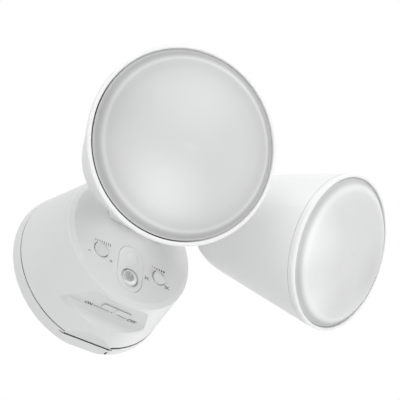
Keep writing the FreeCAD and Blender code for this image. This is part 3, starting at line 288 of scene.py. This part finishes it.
# The wall plate and the base housing: two injection-moulded shells in white plastic with a fine
# spark-eroded skin, screwed together from behind. The open line where they meet and the slit to
# the lock spring are painted dark as shade, a band along that line is painted with dust and shade,
# and painted shade darkens the corner of the finger recess.
parting_line_y, open_line, line_shade_grey = -0.0085, 0.00038, 0.03
flat_line_y, flat_below_z, flat_thinner = -0.0068, -0.0611, 0.00008
low_right_x, low_right_z, low_right_wider = (0.016, 0.020), (-0.045, -0.030), 0.0004
spring_slit_x, slit_half_width, rim_back_y = 0.01895, 0.0004, -0.0045
dust_and_shade_reach, dust_and_shade_amount, dust_and_shade_colour = 0.0012, 0.3, (0.52, 0.51, 0.49)
recess_corner_y, recess_floor_z, recess_front_y = -0.0279, -0.0496, -0.0486
shade_from_y, floor_margin, front_margin = -0.0235, 0.0006, 0.0008
corner_reach, corner_dark = 0.0085, 0.90

moulding = Finish("white_moulding", {"Specular IOR Level": 0.42})
cloud = moulding.noise(38)
skin = moulding.noise(2600, 1.0)
x_place, y_place, z_place = moulding.axes()
clean = moulding.blend(cloud, 0.67, 0.695)

on_flat = z_place < flat_below_z
from_parting = abs(y_place - parting_line_y - on_flat * (flat_line_y - parting_line_y))
low_right = moulding.step(x_place, *low_right_x) * (1 - moulding.step(z_place, *low_right_z))
# Painted shade: the open line between the shells is coloured near black, thinner on the flat and
# wider at the low right, and so is the slit to the lock spring.
shadow_line = from_parting < open_line - on_flat * flat_thinner + low_right * low_right_wider
spring_slit_shade = (abs(x_place - spring_slit_x) < slit_half_width) * on_flat * (y_place > rim_back_y)
# A band beside the open line is painted darker, with dust and shade.
dust_and_shade = (1 - moulding.step(from_parting, open_line, dust_and_shade_reach)) * moulding.noise(240, 3.0)
dusty_and_shaded = moulding.blend(dust_and_shade * dust_and_shade_amount, clean, dust_and_shade_colour)
lined = moulding.blend(moulding.maths("MAXIMUM", shadow_line, spring_slit_shade), dusty_and_shaded, line_shade_grey)

# Painted shade in the corner of the finger recess, where its floor meets the back wall.
off_corner = moulding.distance((0, recess_corner_y, recess_floor_z), (0, 1, 1))
in_recess = ((y_place < shade_from_y) * (z_place < recess_floor_z + floor_margin)
             * (y_place > recess_front_y - front_margin))
near_corner = (1 - moulding.step(off_corner, 0.0, corner_reach)) * in_recess
moulding.set("Base Color", moulding.shade(lined, 1 - near_corner * (1 - corner_dark)))
moulding.set("Roughness", 0.40 + skin * 0.08 + cloud * 0.04)
moulding.bump(skin, 0.000015)
moulding.wear("back_plate", "base_housing")


# The printed marks: dark ink on the housing, raised by its own thickness. ON and OFF stand beside
# the switch, the dials have a minus, a plus and two numbers, and rising bars and dots say what
# each dial does.
ink_height, ink_sunk = 0.00004, 0.00002
ink = Finish("print_ink", {"Specular IOR Level": 0.3})
ink.mottle(3000, 0.03, 0.05, rough=(0.45, 0.15))


def on_recess_floor(u, v, height):
    """A point of the recess floor, read from below: u to the right and v towards the front."""
    return Vector((u, -v, recess_floor_z - height))


def on_face(u, v, height):
    """A point of the dished face: u to the right and v up."""
    dish_radius, dish_depth, face_y = 0.0486, 0.0015, -0.0520
    fall = dish_depth * (1 - (u * u + v * v) / dish_radius ** 2)
    return Vector((u, face_y + fall - height, v))


def ink_words(words, u, v, height, bold):
    """Letters as a flat mesh with the ink's thickness, in the middle of u and v."""
    capital_share = 0.70
    curve = bpy.data.curves.new("letters", "FONT")
    curve.body, curve.size = words, height / capital_share
    curve.extrude = (ink_height + ink_sunk) / 2
    curve.align_x, curve.offset, curve.resolution_u = "CENTER", bold, 4
    mesh = finished_mesh(placed("letters", curve))
    mesh.transform(Matrix.Translation((u, v - height / 2, (ink_height - ink_sunk) / 2)))
    return mesh


def ink_stroke(u, v, to_u, to_v, width):
    """A straight stroke of ink with round ends."""
    end_sides = 8
    turn = math.atan2(to_v - v, to_u - u)
    ring = []
    for a, b, start in (u, v, turn + math.pi / 2), (to_u, to_v, turn - math.pi / 2):
        for i in range(end_sides + 1):
            angle = start + math.pi * i / end_sides
            ring.append((a + math.cos(angle) * width / 2, b + math.sin(angle) * width / 2))
    count = len(ring)
    mesh = bpy.data.meshes.new("stroke")
    mesh.from_pydata([(*p, -ink_sunk) for p in ring] + [(*p, ink_height) for p in ring], [],
                     [tuple(reversed(range(count))), tuple(range(count, 2 * count))] +
                     [(i, (i + 1) % count, count + (i + 1) % count, count + i)
                      for i in range(count)])
    return mesh


def print_marks(name, meshes, lay):
    """Join flat meshes into one printed piece, laid on the surface that lay describes."""
    form = bmesh.new()
    for mesh in meshes:
        form.from_mesh(mesh)
    bmesh.ops.remove_doubles(form, verts=form.verts, dist=1e-7)
    for vertex in form.verts:
        vertex.co = lay(*vertex.co)
    bmesh.ops.recalc_face_normals(form, faces=form.faces)
    joined = bpy.data.meshes.new(name)
    form.to_mesh(joined)
    form.free()
    joined.materials.clear()
    joined.materials.append(ink.material)
    piece = placed(name, joined)
    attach(piece, "base")


switch_v, switch_stroke, switch_dot, switch_bold = 0.0313, 0.00042, 0.0008, 0.00009
print_marks("switch_marks", [
    ink_words("ON", -0.0163, switch_v, 0.0026, switch_bold),
    ink_stroke(-0.0126, switch_v, -0.0004, switch_v, switch_stroke),
    ink_stroke(0.0018, switch_v, 0.00185, switch_v, switch_dot),
    ink_stroke(0.0064, switch_v, 0.0138, switch_v, switch_stroke),
    ink_words("OFF", 0.0185, switch_v, 0.0028, switch_bold)], on_recess_floor)

sign_v, sign_stroke, number_height, number_bold = -0.0268, 0.00038, 0.0026, 0.00002
print_marks("dial_marks", [
    ink_stroke(-0.0342, sign_v, -0.0322, sign_v, sign_stroke),
    ink_stroke(-0.0170, sign_v, -0.0150, sign_v, sign_stroke),
    ink_stroke(-0.0160, -0.0278, -0.0160, -0.0258, sign_stroke),
    ink_words("3K", 0.0140, -0.0263, number_height, number_bold),
    ink_words("5K", 0.0317, -0.0266, number_height, number_bold)], on_face)


class Pattern(Nodes):
    """A Geometry Nodes tree with named sizes, run once and made a plain mesh."""

    def __init__(self, name, sizes):
        super().__init__(bpy.data.node_groups.new(name, "GeometryNodeTree"))
        self.name, self.sizes = name, sizes
        for size, value in sizes.items():
            kind = "NodeSocketInt" if isinstance(value, int) else "NodeSocketFloat"
            self.tree.interface.new_socket(size, in_out="INPUT", socket_type=kind)
        self.tree.interface.new_socket("Geometry", in_out="OUTPUT",
                                       socket_type="NodeSocketGeometry")
        given = self.tree.nodes.new("NodeGroupInput")
        self.size = {size: Link(self, given.outputs[size]) for size in sizes}

    def joined(self, *parts):
        join = self.tree.nodes.new("GeometryNodeJoinGeometry")
        for part in parts:
            self.tree.links.new(part.socket, join.inputs[0])
        return Link(self, join.outputs[0])

    def combined(self, x=0.0, y=0.0, z=0.0):
        return self.node("ShaderNodeCombineXYZ", {}, {0: x, 1: y, 2: z})

    def moved(self, part, **shift):
        return self.node("GeometryNodeTransform", {},
                         {0: part, "Translation": self.combined(**shift)})

    def block(self, x, y, z):
        return self.node("GeometryNodeMeshCube", {}, {"Size": self.combined(x, y, z)})

    def row(self, count, pitch):
        """Points in a row along X, about the middle."""
        line = self.node("GeometryNodeMeshLine", {},
                         {"Count": count, "Offset": self.combined(pitch)})
        return self.moved(line, x=(count - 1) * -0.5 * pitch)

    def grid(self):
        """Points in rows and columns, from the tree's own across, up and pitch."""
        columns, rows, pitch = (self.size[name] for name in ("across", "up", "pitch"))
        return self.node("GeometryNodeMeshGrid", {}, {
            "Size X": pitch * (columns - 1), "Size Y": pitch * (rows - 1),
            "Vertices X": columns, "Vertices Y": rows})

    def chosen(self):
        """True for a share of the points, from the tree's own share and seed."""
        return self.node("FunctionNodeRandomValue", {"data_type": "BOOLEAN"}, {
            "Probability": self.size["share"], "Seed": self.size["seed"]}, 3)

    def coated(self, part, material):
        """A part with its material, inside the tree."""
        return self.node("GeometryNodeSetMaterial", {}, {0: part, "Material": material})

    def repeated(self, points, part, **values):
        return self.node("GeometryNodeInstanceOnPoints", {},
                         {0: points, "Instance": part, **values})

    def piece(self, parts, material, body, slot, lay):
        """Run the tree, lay its mesh in place and make it a piece that rides on a body."""
        real = self.node("GeometryNodeRealizeInstances", {}, {0: parts})
        if material:
            real = self.coated(real, material)
        end = self.tree.nodes.new("NodeGroupOutput")
        self.feed(end.inputs[0], real)
        carrier = placed(self.name, bpy.data.meshes.new(self.name))
        modifier = carrier.modifiers.new(self.name, "NODES")
        modifier.node_group = self.tree
        for item in self.tree.interface.items_tree:
            if item.in_out == "INPUT":
                modifier[item.identifier] = self.sizes[item.name]
        mesh = finished_mesh(carrier)
        for vertex in mesh.vertices:
            vertex.co = lay(*vertex.co)
        piece = placed(self.name, mesh)
        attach(piece, body)


bars_u, bars_v = -0.0240, -0.0160
bars = Pattern("dimmer_bars", {"count": 8, "pitch": 0.0017, "width": 0.00042, "low": 0.0011,
                               "rise": 0.00026, "thickness": 0.00008})
unit_bar = bars.moved(bars.block(bars.size["width"], 1.0, bars.size["thickness"]), y=0.5)
bar_length = bars.size["low"] + bars.node("GeometryNodeInputIndex") * bars.size["rise"]
bars.piece(bars.repeated(bars.row(bars.size["count"], bars.size["pitch"]), unit_bar,
                         Scale=bars.combined(1.0, bar_length, 1.0)),
           ink.material, "base", "electrics", lambda x, y, z: on_face(x + bars_u, y + bars_v, z))

dots_u, dots_v = 0.0234, -0.0144
dots = Pattern("colour_dots", {"count": 6, "pitch": 0.0021, "radius": 0.0004,
                               "growth": 0.00009, "thickness": 0.00008})
unit_dot = dots.node("GeometryNodeMeshCylinder", {}, {"Vertices": 20, "Radius": 1.0,
                                                      "Depth": dots.size["thickness"]})
dot_radius = dots.size["radius"] + dots.node("GeometryNodeInputIndex") * dots.size["growth"]
dots.piece(dots.repeated(dots.row(dots.size["count"], dots.size["pitch"]), unit_dot,
                         Scale=dots.combined(dot_radius, dot_radius, 1.0)),
           ink.material, "base", "electrics", lambda x, y, z: on_face(x + dots_u, y + dots_v, z))


# The arm saddle, arms, knuckles, head brackets, lamp shells and rims: die-cast metal with a satin
# white powder coat, which levels into a faint orange peel.
powder = Finish("white_powder_coat", {"Specular IOR Level": 0.45})
drift = powder.noise(30)
peel = powder.noise(900, 1.5)
powder.set("Base Color", powder.blend(drift, 0.755, 0.78))
powder.set("Roughness", 0.36 + drift * 0.06 + peel * 0.05)
powder.bump(peel, 0.00002)
powder.wear("arm_saddle", *(name for name in nodes if name.startswith(
    ("arm_left", "arm_right", "knuckle_", "head_bracket_", "head_shell_", "head_rim_"))))


# The seals and the cable grommet: black rubber with a dusty bloom, pressed between the parts that
# they seal. The washers on the pins are dark nylon.
rubber = Finish("seal_rubber", {"Specular IOR Level": 0.3})
rubber.mottle(180, (0.030, 0.030, 0.032), (0.075, 0.074, 0.072), rough=(0.72, 0.18), detail=3.0)
rubber.bump(rubber.node("ShaderNodeTexVoronoi", {}, {
    "Vector": rubber.coordinates, "Scale": 1900.0}), 0.00006)
rubber.wear("wall_gasket", "wire_grommet", "body_seal", "saddle_gasket", "lens_gasket_left",
            "lens_gasket_right")

nylon = Finish("washer_nylon", {})
nylon.mottle(1200, (0.10, 0.10, 0.105), (0.17, 0.17, 0.175), rough=(0.45, 0.15), relief=0.00001)
nylon.wear("pan_washers_left", "pan_washers_right", "tilt_washers_left", "tilt_washers_right")


# Screws and pivot bolts: plated steel with fine rings from turning, and the pivot bolts, which
# show, are painted white as the arms are.
plated = Finish("plated_screws", {"Metallic": 1.0})
plated.mottle(2400, (0.55, 0.55, 0.56), (0.74, 0.74, 0.73), rough=(0.24, 0.14), relief=0.00001)
plated.wear("housing_screws", "driver_screws", "arm_screws", "board_screws_left",
            "board_screws_right", "bracket_screws_left", "bracket_screws_right")

white_bolt = Finish("white_bolt_coat", {"Specular IOR Level": 0.45})
white_bolt.mottle(1400, 0.74, 0.79, rough=(0.34, 0.08), relief=0.00001, detail=1.5)
white_bolt.wear("pan_bolt_left", "pan_bolt_right", "tilt_bolt_left", "tilt_bolt_right")


# The circuit boards: glass-fibre board with green solder mask over copper tracks. Soldered pins
# stand on the driver board's back, with small chip resistors between them.
tracks_per_metre, track_share, across_above, upward_below = 620, 0.42, 0.55, 0.35
mask = Finish("green_solder_mask", {"Roughness": 0.34, "Coat Weight": 0.3})
across, _, upward = mask.axes()
patch = mask.node("ShaderNodeTexVoronoi", {"distance": "CHEBYCHEV"},
                  {"Vector": mask.coordinates, "Scale": 130.0}, "Color")
turn = mask.node("ShaderNodeSeparateColor", {}, {0: patch})
lines_across, lines_upward = (
    mask.maths("FRACT", place * tracks_per_metre) < track_share for place in (across, upward))
track = lines_across * (turn > across_above) + lines_upward * (turn < upward_below)
mask.set("Base Color", mask.blend(track, (0.018, 0.13, 0.045), (0.05, 0.26, 0.09)))
mask.bump(track, 0.00003)
mask.wear("driver_board", "sensor_board")

tin = Finish("solder_tin", {"Metallic": 1.0})
tin.mottle(1800, (0.60, 0.60, 0.59), (0.78, 0.78, 0.77), rough=(0.22, 0.2), detail=3.0)
chip_body = Finish("chip_resistor_body", {})
chip_body.mottle(2000, (0.03, 0.03, 0.035), (0.07, 0.07, 0.075), rough=(0.4, 0.2))

driver_low, driver_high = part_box("driver_board")


def on_board_back(x, y, z):
    """A point on the driver board's back, read from behind."""
    return Vector((-x, driver_high.y + z, (driver_low.z + driver_high.z) / 2 + y))


pins = Pattern("solder_pins", {"across": 16, "up": 9, "pitch": 0.0033, "radius": 0.0008,
                               "height": 0.0007, "share": 0.45, "seed": 7})
cone = pins.node("GeometryNodeMeshCone", {}, {
    "Vertices": 12, "Radius Top": pins.size["radius"] * 0.3,
    "Radius Bottom": pins.size["radius"], "Depth": pins.size["height"]})
pins.piece(pins.repeated(pins.grid(), cone, Selection=pins.chosen()), tin.material, "base",
           "steel", on_board_back)

chips = Pattern("chip_resistors", {"across": 7, "up": 5, "pitch": 0.0066, "length": 0.0020,
                                   "width": 0.0012, "height": 0.0005, "share": 0.5, "seed": 3})
chip_length, chip_width, chip_height = (chips.size[name] for name in ("length", "width", "height"))
resin_share, cap_share, between_pins = 0.6, 0.2, 0.00165
resin = chips.coated(chips.block(chip_length * resin_share, chip_width, chip_height),
                     chip_body.material)
caps = [chips.coated(chips.moved(chips.block(chip_length * cap_share, chip_width, chip_height),
                                 x=chip_length * ((resin_share + cap_share) / 2 * end)),
                     tin.material) for end in (-1, 1)]
chip = chips.moved(chips.joined(resin, *caps), z=chip_height * 0.5)
chips.piece(chips.moved(chips.repeated(chips.grid(), chip, Selection=chips.chosen()),
                        x=between_pins, y=between_pins), None, "base", "electrics",
            on_board_back)


# Moulded electrical parts on the boards, the controls behind the dials and the slide switch, with
# the detector's metal can, the terminal block and its slotted screws, and the sleeves on the
# lamps' leads.
phenolic = Finish("moulded_electrics", {})
phenolic.mottle(1500, (0.045, 0.045, 0.05), (0.10, 0.10, 0.105), rough=(0.42, 0.2),
                relief=0.00002, detail=3.0)
phenolic.wear("driver_parts", "dial_controls", "mode_switch")

can = Finish("detector_can", {"Metallic": 1.0})
can.mottle(3000, (0.62, 0.58, 0.46), (0.80, 0.76, 0.62), rough=(0.24, 0.12))
can.wear("pir_detector")

natural_nylon = Finish("terminal_nylon", {"Subsurface Weight": 0.1})
natural_nylon.mottle(300, (0.60, 0.58, 0.51), (0.68, 0.66, 0.60), rough=(0.40, 0.12),
                     relief=0.00003, detail=3.0)
natural_nylon.wear("terminal_block")

terminal_low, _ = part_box("terminal_block")
terminal_middle_z, screw_depth, groove_length = -0.035, 0.0045, 0.01
screws = Pattern("terminal_screws", {"count": 3, "pitch": 0.008, "radius": 0.0014,
                                     "height": 0.0026, "slot": 0.0005})
barrel = screws.node("GeometryNodeMeshCylinder", {}, {
    "Vertices": 24, "Radius": screws.size["radius"], "Depth": screws.size["height"]})
groove = screws.moved(screws.block(groove_length, screws.size["slot"], screws.size["height"]),
                      z=screws.size["height"] * 0.75)
slotted = screws.node("GeometryNodeMeshBoolean", {"operation": "DIFFERENCE"},
                      {0: barrel, 1: groove})
screws.piece(screws.repeated(screws.row(screws.size["count"], screws.size["pitch"]), slotted),
             plated.material, "base", "steel",
             lambda x, y, z: Vector((x, terminal_low.y + screw_depth - z, y + terminal_middle_z)))

sleeve = Finish("lead_sleeve", {})
sleeve.mottle(900, (0.62, 0.62, 0.61), (0.74, 0.74, 0.73), rough=(0.50, 0.12), relief=0.00004,
              stretch=(1, 0.15, 1))
sleeve.wear("arm_leads")


# The sensor plate, its clear infrared dome with a smoked filter cup behind it, and the light
# cell's window: smooth glossy plastic, pressed into the shallow seat in the housing's face.
sensor_middle = Vector((0, 0, -0.0327))
gloss = Finish("sensor_plate_gloss", {"Specular IOR Level": 0.5})
gloss.mottle(60, 0.66, 0.685, rough=(0.30, 0.08))
gloss.bump(gloss.noise(1800, 1.0), 0.000008)
gloss.wear("sensor_plate")

clear_alpha, clear_to_y, solid_from_y = 0.16, -0.0521, -0.0517
middle_radius, rim_radius, middle_grey = 0.0034, 0.0050, 0.56
dome = Finish("infrared_dome", {"Specular IOR Level": 0.8, "Coat Weight": 1.0, "Coat IOR": 2.0,
                                "Coat Roughness": 0.03})
off_axis = dome.distance(sensor_middle, (1, 0, 1))
tint = dome.noise(300)
dome.set("Base Color", dome.blend(dome.step(off_axis, middle_radius, rim_radius), middle_grey,
                                  dome.blend(tint, 0.90, 0.93)))
solid = dome.step(dome.axes()[1], clear_to_y, solid_from_y)
dome.set("Alpha", clear_alpha + solid * (1 - clear_alpha))
dome.set("Roughness", 0.10 + tint * 0.05)
dome.wear("sensor_lens")

cup_radius, cup_edge_y, cup_rise, cup_skirt = 0.0053, -0.0519, 0.0011, 0.0006
cup_rings, cup_sides, disc_shift = 10, 48, Vector((-0.0014, 0, 0.0001))
cup_circle = [(math.cos(2 * math.pi * i / cup_sides), math.sin(2 * math.pi * i / cup_sides))
              for i in range(cup_sides)]
cup_points = [(0, cup_edge_y - cup_rise, 0)]
for ring in range(1, cup_rings + 1):
    share = ring / cup_rings
    cup_points += [(cup_radius * share * x, cup_edge_y - cup_rise * (1 - share * share),
                    cup_radius * share * z) for x, z in cup_circle]
cup_points += [(x, cup_edge_y + cup_skirt, z) for x, _, z in cup_points[-cup_sides:]]
cup_faces = [(0, 1 + i, 1 + (i + 1) % cup_sides) for i in range(cup_sides)]
for ring in range(cup_rings):
    inner, outer = 1 + ring * cup_sides, 1 + (ring + 1) * cup_sides
    cup_faces += [(inner + i, outer + i, outer + (i + 1) % cup_sides, inner + (i + 1) % cup_sides)
                  for i in range(cup_sides)]
cup_faces.append(tuple(1 + cup_rings * cup_sides + i for i in reversed(range(cup_sides))))
cup_mesh = bpy.data.meshes.new("filter_cup")
cup_mesh.from_pydata([Vector(point) + sensor_middle for point in cup_points], [], cup_faces)
cup_form = bmesh.new()
cup_form.from_mesh(cup_mesh)
bmesh.ops.recalc_face_normals(cup_form, faces=cup_form.faces)
for face in cup_form.faces:
    face.smooth = len(face.verts) < cup_sides
cup_form.to_mesh(cup_mesh)
cup_form.free()
filter_cup = placed("filter_cup", cup_mesh)
smoked = Finish("smoked_filter", {"Specular IOR Level": 0.4})
from_middle = smoked.distance(sensor_middle + disc_shift, (1, 0, 1))
smoked.set("Base Color", smoked.node("ShaderNodeValToRGB", {"stops": [
    (0.0, 0.33), (0.50, 0.34), (0.72, 0.42), (0.84, 0.93)]}, {0: from_middle / cup_radius}))
smoked.set("Roughness", 0.25 + smoked.noise(900) * 0.1)
cup_mesh.materials.append(smoked.material)
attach(filter_cup, "base")

pale = Finish("light_cell_window", {"Specular IOR Level": 0.5})
pale.mottle(260, (0.68, 0.68, 0.685), (0.71, 0.71, 0.715), rough=(0.18, 0.06))
pale.wear("photocell_window")


# The two dials and the switch's slider: satin moulded plastic, polished a little by fingers.
# Shadow gathers at the thin edge of the slider, where it stands off the recess floor.
control = Finish("control_plastic", {"Specular IOR Level": 0.45})
control.mottle(420, 0.63, 0.67, rough=(0.36, 0.14))
control.bump(control.noise(2400, 1.0), 0.00001)
control.wear("dimmer_dial", "colour_dial")

edge_slope, edge_grey = 0.3, 0.44
slider = Finish("slider_plastic", {"Specular IOR Level": 0.45})
facing = slider.node("ShaderNodeSeparateXYZ", {},
                     {0: slider.node("ShaderNodeTexCoord", output="Normal")})
thin_edge = abs(facing.other("Z")) < edge_slope
rubbed = slider.noise(420)
slider.set("Base Color", slider.blend(thin_edge, slider.blend(rubbed, 0.66, 0.685), edge_grey))
slider.set("Roughness", 0.38 + rubbed * 0.1)
slider.bump(slider.noise(2400, 1.0), 0.00001)
slider.wear("mode_slider")


# The lamp lenses: frosted opal plastic, held down by the rim's lip. Their colour carries painted
# light
# and shade: a painted dark flank and a painted highlight ring near the rim, painted shade in the
# seat that is deepest on the lens's left, soft painted patches of light and shade, and the left
# lens painted greyer than the right.
head_pan, head_tilt = math.radians(13.44), math.radians(39.26)
pan_point, knuckle_reach, rim_ahead = Vector((0.0334, -0.0725, 0.0216)), 0.016, 0.1191


def head_frame(side):
    """The middle of a lamp's rim face and its axes: across, up and out. Side is -1 or 1."""
    level_out = Vector((side * math.sin(head_pan), -math.cos(head_pan), 0))
    out = level_out * math.cos(head_tilt) - Vector((0, 0, math.sin(head_tilt)))
    cross = Vector((math.cos(head_pan), side * math.sin(head_pan), 0))
    pin = Vector((side * pan_point.x, pan_point.y, pan_point.z))
    return pin + level_out * knuckle_reach + out * rim_ahead, cross, out.cross(cross), out


lens_edge, lens_top_radius, seat_edge = 0.0439, 0.04258, 0.0001
frost_range, light_patch_lift, seat_shade_grey = 0.03, 0.003, 0.46
open_side, open_from, open_to = Vector((-0.469, 0.829, -0.303)), 0.006, 0.030
# Painted shading from the lens middle out to its edge: greyer towards the rim, a painted highlight
# ring on the shoulder, a painted dark flank and a painted light line at the edge.
painted_shading_left = [(0.0, 1.0), (0.57, 0.99), (0.72, 0.95), (0.815, 0.87), (0.85, 0.87), (0.870, 1.0),
             (0.885, 0.98), (0.908, 0.76), (0.932, 0.68), (0.952, 0.74), (0.966, 1.05),
             (1.0, 1.05)]
painted_shading_right = [(0.0, 1.0), (0.55, 0.99), (0.70, 1.0), (0.80, 1.05), (0.855, 1.18), (0.885, 1.14),
              (0.912, 0.90), (0.934, 0.78), (0.952, 0.84), (0.966, 1.05), (1.0, 1.05)]
# Painted patches of light and shade on each lens: across, up, reach, share and the grey they go
# to.
painted_light_patches_left = ((-0.006, -0.026, 0.028, 0.24, 1.0), (-0.003, 0.021, 0.026, 0.10, 1.0),
               (-0.034, 0.002, 0.020, 0.22, 0.40))
painted_light_patches_right = ((-0.030, -0.012, 0.026, 0.26, 1.0), (-0.008, -0.032, 0.022, 0.20, 1.0),
                (0.030, 0.006, 0.024, 0.26, 0.40))
# Each lens has its own grey: the left lens is painted darker than the right, as shade, and its
# seat shade is deeper.
for side, hand, opal_grey_shaded_by_side, open_side_shade_grey, painted_shading_stops, painted_light_patches in (
        (-1, "left", 0.555, 0.02, painted_shading_left, painted_light_patches_left),
        (1, "right", 0.585, 0.30, painted_shading_right, painted_light_patches_right)):
    rim_middle, head_across, head_up, head_out = head_frame(side)
    opal = Finish("opal_lens_" + hand, {"Specular IOR Level": 0.4, "Subsurface Weight": 0.10,
                                        "Subsurface Radius": (0.002, 0.002, 0.002)})
    offset = opal.vector("SUBTRACT", opal.coordinates, tuple(rim_middle))
    off_line = opal.vector("CROSS_PRODUCT", offset, tuple(head_out))
    radius = opal.vector("LENGTH", off_line, output="Value")
    # Painted light and shade by distance from the lens axis.
    tone = opal.node("ShaderNodeValToRGB", {"stops": painted_shading_stops}, {0: radius / lens_edge})
    frost = opal.noise(55)
    body_tone = opal.blend(frost, opal_grey_shaded_by_side, opal_grey_shaded_by_side + frost_range)
    # Painted patches of light and shade.
    for along, up, reach, share, grey in painted_light_patches:
        spot = head_across * along + head_up * up + head_out * light_patch_lift
        away = opal.distance(rim_middle + spot)
        body_tone = opal.blend((1 - opal.step(away, 0.0, reach)) * share, body_tone, grey)
    # Painted shade in the seat between lens and rim, darkest on the open side.
    seat = opal.step(radius, lens_top_radius, lens_top_radius + seat_edge)
    towards_open = opal.vector("DOT_PRODUCT", offset, tuple(open_side), output="Value")
    painted_seat_shade = opal.blend(opal.step(towards_open, open_from, open_to), seat_shade_grey, open_side_shade_grey)
    opal.set("Base Color", opal.blend(seat, opal.shade(body_tone, tone), painted_seat_shade))
    opal.set("Roughness", 0.44 + frost * 0.06)
    opal.bump(opal.noise(2200, 1.0), 0.00001)
    opal.wear("head_lens_" + hand)


# Inside each lamp: a white polished bowl, the LED board in white mask with a drop of phosphor on
# each LED, and the finned aluminium sink that the board is screwed to.
bowl = Finish("reflector_white", {"Specular IOR Level": 0.5})
bowl.mottle(140, 0.86, 0.90, rough=(0.18, 0.08))
bowl.wear("reflector_left", "reflector_right")

white_mask = Finish("led_board_mask", {"Coat Weight": 0.2})
white_mask.mottle(500, (0.80, 0.80, 0.76), (0.86, 0.86, 0.83), rough=(0.3, 0.1), relief=0.00002)
white_mask.wear("led_board_left", "led_board_right")

phosphor = Finish("led_phosphor", {"Coat Weight": 0.5})
phosphor.mottle(2500, (0.80, 0.58, 0.10), (0.88, 0.70, 0.22), rough=(0.3, 0.15))
led_face_ahead = -0.0252
for side, hand in ((-1, "left"), (1, "right")):
    rim_middle, head_across, head_up, head_out = head_frame(side)
    drops = Pattern("led_phosphor_" + hand, {"inner": 0.011, "outer": 0.022, "radius": 0.0012,
                                             "height": 0.0003})
    rings = [drops.node("GeometryNodeMeshCircle", {}, {
        "Vertices": leds, "Radius": drops.size[ring]}) for leds, ring in ((6, "inner"),
                                                                         (12, "outer"))]
    drop = drops.node("GeometryNodeMeshCone", {}, {
        "Vertices": 20, "Radius Top": drops.size["radius"] * 0.75,
        "Radius Bottom": drops.size["radius"], "Depth": drops.size["height"]})
    drops.piece(drops.repeated(drops.joined(*rings, drops.row(1, 0.0)), drop), phosphor.material,
                "head_" + hand, "led_board_white", lambda x, y, z: (
                    rim_middle + head_across * x + head_up * y + head_out * (led_face_ahead + z)))

sink = Finish("sink_aluminium", {"Metallic": 1.0})
sink.mottle(1500, (0.62, 0.63, 0.64), (0.78, 0.79, 0.80), rough=(0.30, 0.15), relief=0.00002,
            detail=3.0, stretch=(1, 1, 0.1))
sink.wear("heat_sink_left", "heat_sink_right")
